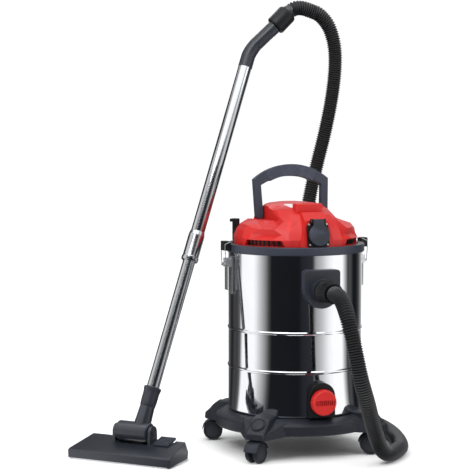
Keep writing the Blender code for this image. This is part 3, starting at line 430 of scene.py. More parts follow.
# The hose's centre line from the port to the wand handle, around the drum's axis
HOSE_ROUTE = [
    (0.000, -0.256, 0.4190), (-0.001, -0.286, 0.4165), (-0.003, -0.316, 0.4060), (-0.004, -0.341, 0.3850),
    (-0.002, -0.356, 0.3550), (0.004, -0.367, 0.3160), (0.012, -0.373, 0.2700), (0.022, -0.374, 0.2220),
    (0.039, -0.367, 0.1730), (0.060, -0.348, 0.1230), (0.081, -0.326, 0.0830), (0.102, -0.304, 0.0500),
    (0.126, -0.283, 0.0290), (0.150, -0.263, 0.0215), (0.178, -0.234, 0.0202), (0.205, -0.199, 0.0202),
    (0.227, -0.151, 0.0202), (0.249, -0.083, 0.0202), (0.268, -0.005, 0.0202), (0.277, 0.075, 0.0210),
    (0.272, 0.150, 0.0240), (0.250, 0.213, 0.0360), (0.218, 0.260, 0.0620), (0.184, 0.288, 0.1090),
    (0.157, 0.298, 0.1720), (0.138, 0.294, 0.2500), (0.126, 0.279, 0.3500), (0.122, 0.255, 0.4800),
    (0.129, 0.226, 0.6150), (0.145, 0.213, 0.7090), (0.164, 0.202, 0.7990), (0.179, 0.193, 0.8870),
    (0.186, 0.186, 0.9670), (0.182, 0.181, 1.0300), (0.164, 0.177, 1.0810), (0.137, 0.175, 1.1110),
    (0.112, 0.1745, 1.1212), (0.088, 0.174, 1.1280), (0.0675, 0.174, 1.1272), (0.048, 0.175, 1.1160),
]
HOSE_DIAMETER = 0.0396
HOSE_STRAIGHT = 0.006
HOSE_PITCH = 0.006                  # one rib to the next
RIB_DEPTH = 0.0042
RIB_STEPS = 6                        # rings of points to each rib
PLAIN_RINGS = 5
PLAIN_DEPTH = 0.001
HOSE_SIDES = 28


def smooth_route(points, spacing):
    """Points at an even spacing on a Catmull-Rom curve through the route's own points."""
    knots = [Vector(p) for p in points]
    knots = [2 * knots[0] - knots[1]] + knots + [2 * knots[-1] - knots[-2]]
    fine = []
    for a, b, c, d in zip(knots, knots[1:], knots[2:], knots[3:]):
        for step in range(24):
            t = step / 24
            fine.append(0.5 * (2 * b + (c - a) * t + (2 * a - 5 * b + 4 * c - d) * t ** 2
                               + (3 * b - 3 * c + d - a) * t ** 3))
    fine.append(knots[-2])
    total = sum((q - p).length for p, q in zip(fine, fine[1:]))
    count = max(1, round(total / spacing))
    even, walked, target = [fine[0]], 0.0, total / count
    for p, q in zip(fine, fine[1:]):
        length = (q - p).length
        while walked + length >= target and len(even) < count:
            even.append(p.lerp(q, (target - walked) / length))
            target += total / count
        walked += length
    return even + [fine[-1]]


def swept_shape(line, radius_at, sides):
    """A capped tube along a line of points, without twist. radius_at(index, outward) is its radius there."""
    shape = bmesh.new()
    rows = []
    across = None
    for i, point in enumerate(line):
        ahead = (line[min(i + 1, len(line) - 1)] - line[max(i - 1, 0)]).normalized()
        if across is None:
            across = ahead.orthogonal().normalized()
        across = (across - ahead * across.dot(ahead)).normalized()
        other = ahead.cross(across)
        row = []
        for k in range(sides):
            out = across * cos(2 * pi * k / sides) + other * sin(2 * pi * k / sides)
            row.append(shape.verts.new(point + out * radius_at(i, out)))
        rows.append(row)
    for upper, lower in zip(rows, rows[1:]):
        bridged(shape, upper, lower)
    shape.faces.new(rows[0])
    shape.faces.new(rows[-1])
    return shape


def make_hose():
    """Corrugated hose: round-topped ribs with narrow valleys, plain for a few millimetres at its two ends."""
    inward = Vector(JOINTS["hose_collar_swivel"]["axis"])
    spacing = HOSE_PITCH / RIB_STEPS
    line = [AXIS + p for p in smooth_route(HOSE_ROUTE, spacing)]
    last = len(line) - 1
    end = line[-1]
    for i in range(last + 1):
        back = (last - i) * spacing
        if back < HOSE_STRAIGHT:
            line[i] = end - inward * back
    radius = HOSE_DIAMETER / 2
    radii = []
    for i in range(last + 1):
        valley = (0.5 + 0.5 * cos(2 * pi * (i % RIB_STEPS) / RIB_STEPS)) ** 0.8
        plain = min(i, last - i) < PLAIN_RINGS
        radii.append(radius - (PLAIN_DEPTH if plain else RIB_DEPTH * valley))
    shape = swept_shape(line, lambda i, out: radii[i], HOSE_SIDES)
    hose = stands_for("ribbed_hose", "hose", shape, "hose", 75)
    # Rib heights that set where the hose's painted highlight and painted shade fall.
    rings = [min(v // HOSE_SIDES, last) for v in range(len(hose.data.vertices))]
    heights = [1 - (radius - radii[ring]) / RIB_DEPTH for ring in rings]
    hose.data.attributes.new("rib", "FLOAT", "POINT").data.foreach_set("value", heights)


make_hose()


# Drum

DRUM_R = 0.17
BEAD_PROUD = 0.0026
BEAD_Z = (0.3115, 0.2145)
BEAD_HALF = 0.0055
WALL = 0.0016


def make_drum():
    """Polished drum: two rolled beads, a curled foot and a rolled lip under the lid's band."""
    low, high = TUB_LOW.z, TUB_HIGH.z
    outside = [(DRUM_R - 0.0012, high), (DRUM_R, high - 0.0008)]
    for centre in BEAD_Z:
        for step in range(17):
            t = step / 16
            z = centre + BEAD_HALF * (1 - 2 * t)
            outside.append((DRUM_R + BEAD_PROUD * 0.5 * (1 + cos(pi * (1 - 2 * t))), z))
    foot = [(DRUM_R, low + 0.006), (DRUM_R - 0.0008, low + 0.003), (DRUM_R - 0.003, low + 0.0008),
            (DRUM_R - 0.006, low)]
    inside = [(0.0, low), (0.0, low + WALL), (DRUM_R - 0.0055, low + WALL), (DRUM_R - 0.0022, low + 0.0045),
              (DRUM_R - WALL, low + 0.008), (DRUM_R - WALL, high)]
    shape = turned_shape(outside + foot + inside, MACHINE, 160)
    stands_for("polished_drum", "tub", shape, "steel", 50)


make_drum()


# Motor cover

COVER_BASE = 0.5218
# Half of the cover's folded outside, mirrored: an angle from the front, the distance out at the base, then a
# distance out and a height at each fold up to the crown's edge
COVER_FOLDS = (
    (0, 0.153, (0.153, 0.5412), (0.148, 0.558), (0.14, 0.574), (0.129, 0.588), (0.113, 0.602),
     (0.08, 0.616)),
    (16, 0.1535, (0.1535, 0.5412), (0.149, 0.558), (0.141, 0.574), (0.13, 0.588), (0.113, 0.602),
     (0.08, 0.616)),
    (27, 0.157, (0.157, 0.5412), (0.15, 0.558), (0.142, 0.574), (0.13, 0.588), (0.113, 0.601),
     (0.08, 0.6155)),
    (34, 0.157, (0.158, 0.5412), (0.148, 0.554), (0.144, 0.566), (0.129, 0.586), (0.112, 0.599),
     (0.081, 0.615)),
    (42, 0.157, (0.1585, 0.5412), (0.144, 0.551), (0.146, 0.566), (0.117, 0.5775), (0.11, 0.596),
     (0.082, 0.614)),
    (56, 0.157, (0.1585, 0.5412), (0.144, 0.5515), (0.147, 0.5665), (0.116, 0.578), (0.102, 0.586),
     (0.084, 0.612)),
    (68, 0.157, (0.158, 0.5412), (0.149, 0.556), (0.146, 0.568), (0.129, 0.579), (0.104, 0.585),
     (0.082, 0.61)),
    (78, 0.157, (0.1575, 0.543), (0.153, 0.562), (0.143, 0.574), (0.121, 0.5815), (0.106, 0.587),
     (0.08, 0.613)),
    (92, 0.157, (0.157, 0.544), (0.151, 0.562), (0.139, 0.575), (0.12, 0.5825), (0.104, 0.592),
     (0.079, 0.618)),
    (114, 0.157, (0.157, 0.544), (0.15, 0.56), (0.139, 0.574), (0.121, 0.585), (0.104, 0.598),
     (0.077, 0.623)),
    (140, 0.157, (0.157, 0.544), (0.148, 0.558), (0.138, 0.572), (0.122, 0.59), (0.102, 0.606),
     (0.074, 0.625)),
    (162, 0.157, (0.157, 0.544), (0.15, 0.556), (0.134, 0.564), (0.116, 0.584), (0.096, 0.602),
     (0.072, 0.626)),
    (180, 0.157, (0.157, 0.544), (0.149, 0.556), (0.132, 0.564), (0.114, 0.584), (0.095, 0.602),
     (0.072, 0.626)),
)
CROWN_TOP = 0.6225
CROWN_FALL = 0.09                    # slope of the crown towards the front
CROWN_FLAT = 0.06


def from_front(radius, angle, z):
    """A point at this distance from the drum's axis and angle from the front, in degrees."""
    return AXIS + Vector((radius * sin(radians(angle)), -radius * cos(radians(angle)), z))


def cutter(name, shape):
    """A shape as an object that a Boolean can use."""
    bmesh.ops.recalc_face_normals(shape, faces=shape.faces)
    return added(name, as_mesh(name, shape))


NUDGES = (0.0, 0.0001, -0.0001, 0.0002, -0.0002, 0.0003, -0.0003, 0.0005, -0.0005)


def enclosed(mesh):
    """The mesh's volume, or nothing where it isn't one closed skin."""
    shape = bmesh.new()
    shape.from_mesh(mesh)
    whole = len(shape.faces) > 3 and all(len(edge.link_faces) == 2 for edge in shape.edges)
    volume = shape.calc_volume(signed=True) if whole else 0.0
    shape.free()
    return volume


def carved(piece, joins, cuts):
    """The piece with shapes joined to it and cut from it, each nudged if need be to leave a closed skin."""
    steps = [("UNION", shape) for shape in joins] + [("DIFFERENCE", shape) for shape in cuts]
    for index, (operation, shape) in enumerate(steps):
        guide = cutter(f"{piece.name}_cut_{index}", shape)
        step = piece.modifiers.new("carve", "BOOLEAN")
        step.operation = operation
        step.solver = "EXACT"
        step.object = guide
        before = enclosed(piece.data)
        for nudge in NUDGES:
            guide.location = (nudge, -nudge / 2, nudge)
            bpy.context.view_layer.update()
            view = bpy.context.evaluated_depsgraph_get()
            mesh = bpy.data.meshes.new_from_object(piece.evaluated_get(view))
            after = enclosed(mesh)
            grown = after >= before if operation == "UNION" else 0.5 * before < after <= before
            if after > 0 and grown:
                break
        else:
            raise RuntimeError(f"{guide.name} leaves no closed skin")
        piece.modifiers.remove(step)
        piece.data = mesh
        mesh.name = piece.name
        bpy.data.objects.remove(guide, do_unlink=True)
    smooth_by_angle(piece.data, 60)
    return piece


def lofted(rows):
    """A closed shape through rows of equal point counts."""
    shape = bmesh.new()
    rings = [[shape.verts.new(point) for point in row] for row in rows]
    for upper, lower in zip(rings, rings[1:]):
        bridged(shape, upper, lower)
    shape.faces.new(rings[0])
    shape.faces.new(rings[-1])
    return shape


def cover_shell():
    """The cover's folded sides under its sloping crown."""
    folds = {angle: ((base, COVER_BASE), *points) for angle, base, *points in COVER_FOLDS}
    turns = [angle for angle in folds] + [360 - angle for angle in reversed(folds) if 0 < angle < 180]
    shape = bmesh.new()
    rings = []
    for level in range(len(folds[0])):
        corners = [(a, *folds[min(a, 360 - a)][level]) for a in turns]
        rings.append([shape.verts.new(from_front(radius, a, z)) for a, radius, z in corners])
    for upper, lower in zip(rings, rings[1:]):
        bridged(shape, upper, lower)
    shape.faces.new(rings[0])
    inner = [shape.verts.new(from_front(CROWN_FLAT, a, CROWN_TOP - CROWN_FLAT * cos(radians(a)) * CROWN_FALL))
             for a in turns]
    bridged(shape, rings[-1], inner)
    shape.faces.new(inner)
    bmesh.ops.triangulate(shape, faces=shape.faces)
    bmesh.ops.recalc_face_normals(shape, faces=shape.faces)
    return shape


SECTOR_STEPS = 8


def ring_sector(near, far, start, end, bottom, top, flare):
    """A block that follows the drum's curve between two angles from the front, splayed at its top."""
    rows = []
    for step in range(SECTOR_STEPS + 1):
        a = start + (end - start) * step / SECTOR_STEPS
        slip = flare * (1 - 2 * step / SECTOR_STEPS)
        rows.append([from_front(near, a, bottom), from_front(far, a, bottom),
                     from_front(far, a + slip, top), from_front(near, a + slip, top)])
    return lofted(rows)


def machine_box(size, centre):
    return box_shape(size, shift(AXIS + Vector(centre)))


def rod(radius, half, matrix):
    """A plain cylinder along the matrix's Z."""
    profile = [(0.0, -half), (radius, -half), (radius, half), (0.0, half)]
    return turned_shape(profile, matrix, 24, closed=False)


def eased(shape, offset):
    """A box with all its edges rounded."""
    bmesh.ops.bevel(shape, geom=shape.edges[:], offset=offset, segments=3, affect="EDGES", profile=0.5)
    return shape


# The spine that carries the outlet: its half width, front and height at three levels
SPINE = ((0.046, -0.1535, 0.5221), (0.031, -0.1429, 0.589), (0.029, -0.116, 0.608))
SPINE_BACK = -0.07
SPINE_SPLAY = 0.004


def spine_shape():
    rows = []
    for half, front, z in SPINE:
        wide = half + SPINE_SPLAY
        corners = ((-half, front, z), (half, front, z), (wide, SPINE_BACK, z), (-wide, SPINE_BACK, z))
        rows.append([AXIS + Vector(corner) for corner in corners])
    return lofted(rows)


# Boxes added to or cut from the cover, as a size and a centre from the drum's axis; the channels are mirrored
SWITCH_BAR = (0.07, 0.03, 0.024), (0, -0.083, 0.6165)
SWITCH_WELL = (0.0222, 0.0182, 0.02), (0, -0.08, 0.627)
LEG_CHANNEL = (0.035, 0.146, 0.065), (0.093, 0.083, 0.6125)
SIDE_CHANNEL = (0.046, 0.096, 0.06), (0.0985, -0.034, 0.6153)
PIN_RADIUS, PIN_HALF, PIN_OUT = 0.0048, 0.006, 0.074
VENT = {"near": 0.14, "far": 0.17, "bottom": 0.5253, "top": 0.5395}
VENT_TURN = (31, 74)                 # degrees from the front
VENT_FLARE = 2.5
OUTLET_AT = (0, -0.1516, 0.5585)
OUTLET_LEAN = radians(-9)
OUTLET_SEAT, OUTLET_SINK = (0.06, 0.03, 0.078), -0.0113
PANEL_SEAT = (0.0568, 0.0568, 0.0026)
GLAND_RADIUS, GLAND_HALF, GLAND_AT = 0.0062, 0.03, (0, 0.14, 0.535)
COVER_ROUND = 0.0022


def mirrored(block, sign):
    """A box of the cover's on one side or the other."""
    size, (x, y, z) = block
    return machine_box(size, (x * sign, y, z))


def make_cover():
    """The folded motor cover with its spine, channels, vents and seats."""
    pivot = Vector(JOINTS["carry_handle_fold"]["pos_m"])
    cuts = []
    for sign in (-1, 1):
        cuts += [mirrored(LEG_CHANNEL, sign), mirrored(SIDE_CHANNEL, sign)]
        pin = on_axis((AXIS.x + PIN_OUT * sign, pivot.y, pivot.z), (1, 0, 0))
        cuts.append(rod(PIN_RADIUS, PIN_HALF, pin))
        start, end = (angle * sign for angle in VENT_TURN)
        cuts.append(ring_sector(start=start, end=end, flare=VENT_FLARE * sign, **VENT))
    outlet = shift(AXIS + Vector(OUTLET_AT)) @ Matrix.Rotation(OUTLET_LEAN, 4, "X")
    cuts += [box_shape(OUTLET_SEAT, outlet @ shift((0, OUTLET_SINK, 0))), machine_box(*SWITCH_WELL)]
    low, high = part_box("top_panel")
    seat = shift((low + high) / 2) @ Matrix.Rotation(atan2(CROWN_FALL, 1), 4, "X")
    cuts.append(box_shape(PANEL_SEAT, seat))
    gland = on_axis(AXIS + Vector(GLAND_AT), (0, 1, 0))
    cuts.append(rod(GLAND_RADIUS, GLAND_HALF, gland))
    cover = stands_for("folded_cover", "motor_cover", cover_shell(), "red", 60)
    carved(cover, [spine_shape(), eased(machine_box(*SWITCH_BAR), 0.0035)], cuts)
    rounded_edges(cover, COVER_ROUND, 3, 14)


make_cover()


# Turned pieces

def joint_frame(name, side=(0, 0, 1)):
    """A frame on a joint, its Z along the joint's axis."""
    return on_axis(JOINTS[name]["pos_m"], JOINTS[name]["axis"], side)


FINE = 96                            # sides of a smooth round piece
CAP_TEETH = 36
CAP_SLOT_DEPTH = 0.0074
CAP_RIB_PITCH = 0.0054


def make_drain_cap():
    """Red cap with a serrated rim and a slot across it, ribbed inside for the fingers."""
    matrix = joint_frame("drain_cap_turn", (1, 0, 0))
    low, high = span("drain_cap", matrix)
    face, rim = high.z, high.x

    def serration(a, r, z):
        return -0.0017 * (0.5 + 0.5 * cos(CAP_TEETH * a)) if r > rim - 0.0035 and z > 0.0012 else 0.0

    profile = softened([(0.0, face), (rim - 0.005, face), (rim - 0.001, face - 0.0022), (rim, face - 0.0045),
                        (rim, 0.0), (0.0115, 0.0), (0.0115, low.z), (0.0, low.z)], 0.0007, closed=False)
    shape = turned_shape(profile, matrix, CAP_TEETH * 6, closed=False, wave=serration)
    cap = stands_for("ribbed_cap", "drain_cap", shape, "red", 40)
    slot = box_shape((0.05, 0.0125, 0.016), matrix @ shift((0, 0, face)))
    carved(cap, [], [slot])
    rounded_edges(cap, 0.0005, 2, 40)
    bars = [box_shape((0.0027, 0.0123, 0.005), matrix @ shift((CAP_RIB_PITCH * k, 0, face - 0.0026)))
            for k in range(-4, 5)]
    # A near-black sheet at the slot's floor, as painted shade in the recess.
    slot_shade_sheet = box_shape((0.049, 0.0122, 0.001), matrix @ shift((0, 0, face - CAP_SLOT_DEPTH)))
    extra("cap_slot_painted_shade", "drain_cap", slot_shade_sheet, "painted_shade")
    ribs = extra("cap_slot_ribs", "drain_cap", merged(*bars), "red")
    rounded_edges(ribs, 0.0003, 2)


WHEEL_R = 0.025
WHEEL_INNER = 0.007                 # from the middle to a tyre's inner face
AXLE_R = 0.0032


def make_wheels(corner):
    """A twin wheel: two tyres with a rim groove and a shallow domed cap on each outer face."""
    node = f"caster_wheels_{corner}"
    matrix = joint_frame(f"caster_roll_{corner}")
    half = span(node, matrix)[1].z
    face = [(0.0, half - 0.0004), (0.009, half - 0.0007), (0.018, half - 0.0014), (0.0192, half - 0.0026),
            (0.0202, half - 0.0026), (0.0208, half - 0.0004), (0.0222, half), (0.0238, half - 0.001),
            (WHEEL_R - 0.0002, half - 0.004), (WHEEL_R, half - 0.0056), (WHEEL_R, WHEEL_INNER + 0.0012),
            (WHEEL_R - 0.0012, WHEEL_INNER), (AXLE_R, WHEEL_INNER)]
    profile = softened(face + [(r, -z) for r, z in reversed(face)], 0.0004, 2, False)
    stands_for(f"twin_wheel_{corner}", node, turned_shape(profile, matrix, 64, False), "trolley", 38)


def make_port():
    """The hose's swivelling cuff in the port, with finger ribs round its neck."""
    matrix = joint_frame("inlet_cuff_swivel")
    low, high = span("inlet_cuff", matrix)
    towards = 1 if abs(high.z) < abs(low.z) else -1
    deep, out = (high.z, low.z) if towards > 0 else (low.z, high.z)
    flange, seat = -0.0115 * towards, 0.0004 * towards

    def ribs(a, r, z):
        return 0.0007 * max(0.0, cos(30 * a)) if 0.0246 < r < 0.0289 and abs(z - out) > 0.006 else 0.0

    outside = [(0.0246, deep), (0.0246, seat), (0.029, seat), (0.029, flange), (0.0272, -0.015 * towards),
               (0.0258, -0.026 * towards), (0.025, out + 0.01 * towards), (0.0256, out + 0.007 * towards),
               (0.0256, out), (0.0198, out), (0.0198, deep)]
    shape = turned_shape(softened(outside, 0.0008), matrix, 180, wave=ribs)
    stands_for("ribbed_cuff", "inlet_cuff", shape, "black", 40)


def make_collar():
    """The collar between hose and handle: chamfered ends and four small slots round it."""
    matrix = joint_frame("hose_collar_swivel")
    low, high = span("hose_collar", matrix)
    reach, top, bottom = high.x, high.z, low.z
    profile = softened([(reach - 0.003, top), (reach, top - 0.0036), (reach, bottom + 0.005),
                        (reach - 0.003, bottom), (0.017, bottom), (0.017, top)], 0.001)
    collar = stands_for("smooth_collar", "hose_collar", turned_shape(profile, matrix, FINE), "black", 40)
    slots = []
    for turn in range(20, 360, 90):
        spot = Matrix.Rotation(radians(turn), 4, "Z") @ shift((reach, 0, bottom + 0.013))
        slots.append(box_shape((0.0016, 0.0032, 0.006), matrix @ spot))
    carved(collar, [], slots)
    smooth_by_angle(collar.data, 40)


WAND = on_axis(JOINTS["neck_swivel"]["pos_m"], JOINTS["tube_telescope"]["axis"],
               Vector(JOINTS["tube_telescope"]["axis"]).cross(Vector((0, 0, 1))))
TUBE_WALL = 0.001
SLEEVE_BORE = 0.0181
NOTCH_PITCH = 0.024
NOTCHES = 12
FIRST_NOTCH = 0.07                 # below the lower tube's top
TRACK_HALF = radians(30)             # half the angle that the flat track takes up
DENT_DEPTH = 0.0013
DENT_HALF = 0.0026


def make_upper_tube():
    """Chromed tube with rolled ends."""
    low, high = span("upper_tube", WAND)
    radius, top = high.x, high.z - 0.0004
    bore = radius - TUBE_WALL
    profile = softened([(radius, top), (radius, low.z), (bore, low.z), (bore, top)], 0.0004, 2)
    stands_for("chrome_upper_tube", "upper_tube", turned_shape(profile, WAND, FINE), "chrome", 40)


def make_sleeve():
    """The sleeve between the tubes, with its clamp ring and the button's housing."""
    low, high = span("tube_sleeve", WAND)
    reach, ledge = 0.0222, high.z - 0.0303
    profile = [(SLEEVE_BORE, high.z), (0.019, high.z - 0.001), (0.0204, high.z - 0.009),
               (0.0208, high.z - 0.011), (0.0208, low.z + 0.012), (reach, low.z + 0.0105),
               (reach, low.z + 0.003), (0.02, low.z), (0.0166, low.z), (0.0166, ledge), (SLEEVE_BORE, ledge)]
    shape = turned_shape(softened(profile, 0.001), WAND, FINE)
    sleeve = stands_for("chrome_sleeve", "tube_sleeve", shape, "chrome", 40)
    middle = (low.z + high.z) / 2
    housing = eased(box_shape((0.017, 0.007, 0.048), WAND @ shift((0, 0.0186, middle))), 0.0018)
    pocket = box_shape((0.0124, 0.012, 0.0344), WAND @ shift((0, 0.0243, middle)))
    carved(sleeve, [housing], [pocket])
    smooth_by_angle(sleeve.data, 40)


def make_lower_tube():
    """Chromed tube with a flattened track down its face and a dent across the track at each notch."""
    low, high = span("lower_tube", WAND)
    radius = high.x
    first = high.z - FIRST_NOTCH
    rows = [high.z]
    for k in range(NOTCHES):
        centre = first - k * NOTCH_PITCH
        rows += [centre + d for d in (0.006, 0.0028, 0.002, 0.001, 0.0, -0.001, -0.002, -0.0028, -0.006)]
    rows += [rows[-1] - 0.004, low.z]
    flat_start, flat_end = rows[1] + 0.004, rows[-2]

    def track(a, r, z):
        off = abs((a - pi / 2 + pi) % (2 * pi) - pi)
        if r < radius - TUBE_WALL / 2 or off > TRACK_HALF or not flat_end < z < flat_start:
            return 0.0
        flat = radius - radius * cos(TRACK_HALF) / cos(off)
        near = (first - z + NOTCH_PITCH / 2) % NOTCH_PITCH - NOTCH_PITCH / 2
        dent = DENT_DEPTH * max(0.0, 1 - (near / DENT_HALF) ** 2) * (1 - (off / TRACK_HALF) ** 4)
        return -flat - dent

    profile = [(radius, z) for z in rows] + [(radius - TUBE_WALL, low.z), (radius - TUBE_WALL, high.z)]
    stands_for("chrome_lower_tube", "lower_tube", turned_shape(profile, WAND, 144, wave=track), "chrome", 30)


def make_neck_cuff():
    """The tapered cuff between the wand and the floor head."""
    low, high = span("neck_cuff", WAND)
    top, bottom, ledge = high.z, low.z, high.z - 0.0303
    profile = [(0.019, top), (0.0216, top - 0.0008), (0.0222, top - 0.003), (0.0216, top - 0.0075),
               (0.0204, top - 0.014), (0.02, bottom + 0.01), (0.0192, bottom), (0.015, bottom),
               (0.015, ledge), (0.0163, ledge), (0.0163, top)]
    shape = turned_shape(softened(profile, 0.001), WAND, FINE)
    stands_for("tapered_cuff", "neck_cuff", shape, "charcoal", 40)


PIPE_RADIUS = 0.0185
PIPE_RIB = 0.0011
PIPE_STEP = 0.0012
ELBOW_RISE = 0.05                  # from the upper tube's top to the point that the bend rounds off
PIPE_ROUNDING = 9                    # times that the line is averaged with its neighbours


def make_handle_pipe():
    """The bent handle pipe from wand to collar, its underside ribbed for the fingers."""
    up = Vector(JOINTS["tube_telescope"]["axis"])
    foot = Vector(JOINTS["neck_swivel"]["pos_m"])
    top = foot + up * span("upper_tube", WAND)[1].z + up * 0.0004
    collar = joint_frame("hose_collar_swivel")
    end = collar @ Vector((0, 0, span("hose_collar", collar)[1].z + 0.0006))
    elbow = top + up * ELBOW_RISE
    shoulder = elbow + (top - elbow) * 0.12 + (end - elbow) * 0.07
    knots = [top, elbow.lerp(top, 0.32), shoulder, elbow.lerp(end, 0.22), end]
    line = []
    for a, b in zip(knots, knots[1:]):
        count = max(2, ceil((b - a).length / PIPE_STEP))
        line += [a.lerp(b, k / count) for k in range(count)]
    line.append(end)
    for _ in range(PIPE_ROUNDING):
        line = [line[0]] + [(a + 2 * b + c) / 4 for a, b, c in zip(line, line[1:], line[2:])] + [line[-1]]
    down = (-(end - elbow).cross(up).cross(end - elbow)).normalized()
    start, stop = len(line) * 0.42, len(line) * 0.86

    def ribbed(i, out):
        under = max(0.0, out.dot(down) - 0.35)
        rib = 0.5 + 0.5 * cos(2 * pi * i / 4)
        return PIPE_RADIUS - PIPE_RIB * rib * min(1.0, under * 2.5) * (start < i < stop)

    stands_for("bent_handle_pipe", "hose_handle", swept_shape(line, ribbed, 56), "charcoal", 70)


PLEATS = 56
PLEAT_DEPTH = 0.0042
RING_HEIGHT = 0.009


def make_filter():
    """The cartridge: pleated paper between two moulded end rings."""
    low, high = span("cartridge_filter", MACHINE)
    outer, inner, top = high.x, high.x - 0.01, high.z - 0.0005

    def pleat(a, r, z):
        if r <= outer - 0.004 or not low.z + RING_HEIGHT < z < high.z - RING_HEIGHT:
            return 0.0
        return -PLEAT_DEPTH * abs(((a * PLEATS / pi) % 2) - 1)

    profile = [(outer, top), (outer, high.z - 0.0085), (outer - 0.0006, high.z - 0.0095),
               (outer - 0.0006, low.z + 0.0095), (outer, low.z + 0.0085), (outer, low.z),
               (0.0, low.z), (0.0, low.z + 0.006), (inner, low.z + 0.006), (inner, top)]
    shape = turned_shape(profile, MACHINE, PLEATS * 4, wave=pleat)
    stands_for("pleated_filter", "cartridge_filter", shape, "paper", 25)


TUFTS = 62
BACKING = 0.004
TUFT_INSET = 0.003


def make_brush():
    """A row of bristle tufts set in a thin backing strip."""
    tilt = JOINTS["sweeper_tilt"]
    turn = Matrix.Rotation(atan2(tilt["axis"][1], tilt["axis"][0]), 4, "Z")
    floor = shift((tilt["pos_m"][0], tilt["pos_m"][1], 0)) @ turn
    low, high = span("brush_strip", floor)
    x, y = (low.x + high.x) / 2, (low.y + high.y) / 2
    strip = floor @ shift((x, y, high.z - BACKING / 2))
    parts = [box_shape((high.x - low.x, high.y - low.y, BACKING), strip)]
    top = high.z - TUFT_INSET
    for k in range(TUFTS):
        x = low.x + TUFT_INSET + (high.x - low.x - 2 * TUFT_INSET) * k / (TUFTS - 1)
        tuft = bmesh.new()
        spot = floor @ shift((x, y, (low.z + top) / 2))
        bmesh.ops.create_cone(tuft, cap_ends=True, segments=7, radius1=0.0013, radius2=0.0019,
                              depth=top - low.z, matrix=spot)
        parts.append(tuft)
    stands_for("bristle_row", "brush_strip", merged(*parts), "bristle")


TREADS = 6


def make_pedal_ribs():
    """Raised treads across the foot pedal."""
    node = NODES["foot_pedal"]
    faces = sorted(node.data.polygons, key=lambda f: -f.area * max(0.0, f.normal.z))
    corner = node.data.vertices[faces[0].vertices[0]].co
    matrix = on_axis(corner, faces[0].normal, JOINTS["sweeper_tilt"]["axis"])
    low, high = span("foot_pedal", matrix)
    treads = []
    for k in range(TREADS):
        y = low.y + (high.y - low.y) * (k + 0.9) / (TREADS + 0.8)
        spot = matrix @ shift(((low.x + high.x) / 2, y, 0.0002))
        treads.append(box_shape((high.x - low.x - 0.004, 0.003, 0.003), spot))
    ribs = extra("pedal_treads", "foot_pedal", merged(*treads), "head")
    rounded_edges(ribs, 0.0003, 2)


ARCH_HALF = 0.0975                   # the handle's arch: half its chord, its rise, and the height of its top
ARCH_RISE = 0.0345
ARCH_TOP = 0.7231
HANDLE_LEAN = radians(-5)
GRIP_RIBS = 46
GRIP_REACH = 0.455                   # radians each way from the arch's top
GRIP_RIB = (0.0021, 0.0208, 0.0292)


def make_grip_ribs():
    """Fine ribs across the arch of the carry handle."""
    pivot = Vector(JOINTS["carry_handle_fold"]["pos_m"])
    lean = shift(pivot) @ Matrix.Rotation(HANDLE_LEAN, 4, "X")
    radius = (ARCH_HALF ** 2 + ARCH_RISE ** 2) / (2 * ARCH_RISE)
    centre = ARCH_TOP - radius - pivot.z
    middle = radius - 0.0148
    bars = []
    for k in range(GRIP_RIBS):
        a = GRIP_REACH * (2 * k / (GRIP_RIBS - 1) - 1)
        spot = shift((middle * sin(a), 0, centre + middle * cos(a))) @ Matrix.Rotation(a, 4, "Y")
        bars.append(box_shape(GRIP_RIB, lean @ spot))
    ribs = extra("grip_ribs", "carry_handle", merged(*bars), "grip")
    rounded_edges(ribs, 0.0005, 2)


ARM_SLOPE = atan2(0.029, 0.032)
ARM_CAP_REACH = 0.2235
ARM_CAP_HEIGHT = 0.0925


def make_arm_caps():
    """Round caps in their rings on the sloping face of each trolley arm."""
    profile = softened([(0.0, 0.0016), (0.0142, 0.0016), (0.015, 0.0002), (0.0156, 0.0002), (0.0164, 0.0018),
                        (0.0178, 0.0018), (0.0186, -0.001), (0.0, -0.001)], 0.0005, 2, False)
    caps = []
    for corner in CORNERS:
        pivot = Vector(JOINTS[f"caster_swivel_{corner}"]["pos_m"]) - AXIS
        out = Vector((pivot.x, pivot.y, 0)).normalized()
        middle = AXIS + out * ARM_CAP_REACH + Vector((0, 0, ARM_CAP_HEIGHT))
        normal = out * sin(ARM_SLOPE) + Vector((0, 0, cos(ARM_SLOPE)))
        spot = on_axis(middle, normal, Vector((0, 0, 1)).cross(out))
        caps.append(turned_shape(profile, spot, 48, False))
    extra("arm_caps", "trolley_base", merged(*caps), "trolley")


make_arm_caps()
make_drain_cap()
for corner in CORNERS:
    make_wheels(corner)
make_port()
make_collar()
make_upper_tube()
make_sleeve()
make_lower_tube()
make_neck_cuff()
make_handle_pipe()
make_filter()
make_brush()
make_pedal_ribs()
make_grip_ribs()


# Remaining pieces, each from its CAD shape with its edges rounded

REFINED = (
    ("trolley_base", "trolley", 0.0014, 3), ("lid_base", "band", 0.0012, 3),
    ("inlet_plate", "charcoal", 0.0014, 3), ("drain_boss", "black", 0.0014, 3),
    ("drain_seal", "rubber", 0.0003, 1), ("lid_gasket", "rubber", 0.0005, 1),
    ("carry_handle", "grip", 0.0012, 3), ("power_switch", "red", 0.0006, 3),
    ("top_panel", "pale", 0.0004, 2), ("cord_gland", "black", 0.0006, 2), ("cord_hook", "black", 0.0014, 3),
    ("outlet_plate", "black", 0.0007, 2), ("outlet_flap", "charcoal", 0.0008, 2),
    ("outlet_pin", "zinc", 0.0002, 1), ("motor", "zinc", 0.001, 2), ("impeller", "pale", 0.0006, 2),
    ("float_cage", "black", 0.0006, 2), ("float_ball", "pale", 0.0004, 1),
    ("release_button", "latch", 0.0008, 3), ("neck_barrel", "head", 0.0012, 3),
    ("floor_head", "head", 0.0016, 3), ("foot_pedal", "head", 0.0007, 2), ("sole_plate", "zinc", 0.0003, 1),
    ("nozzle_wheels", "rubber", 0.0005, 2),
)
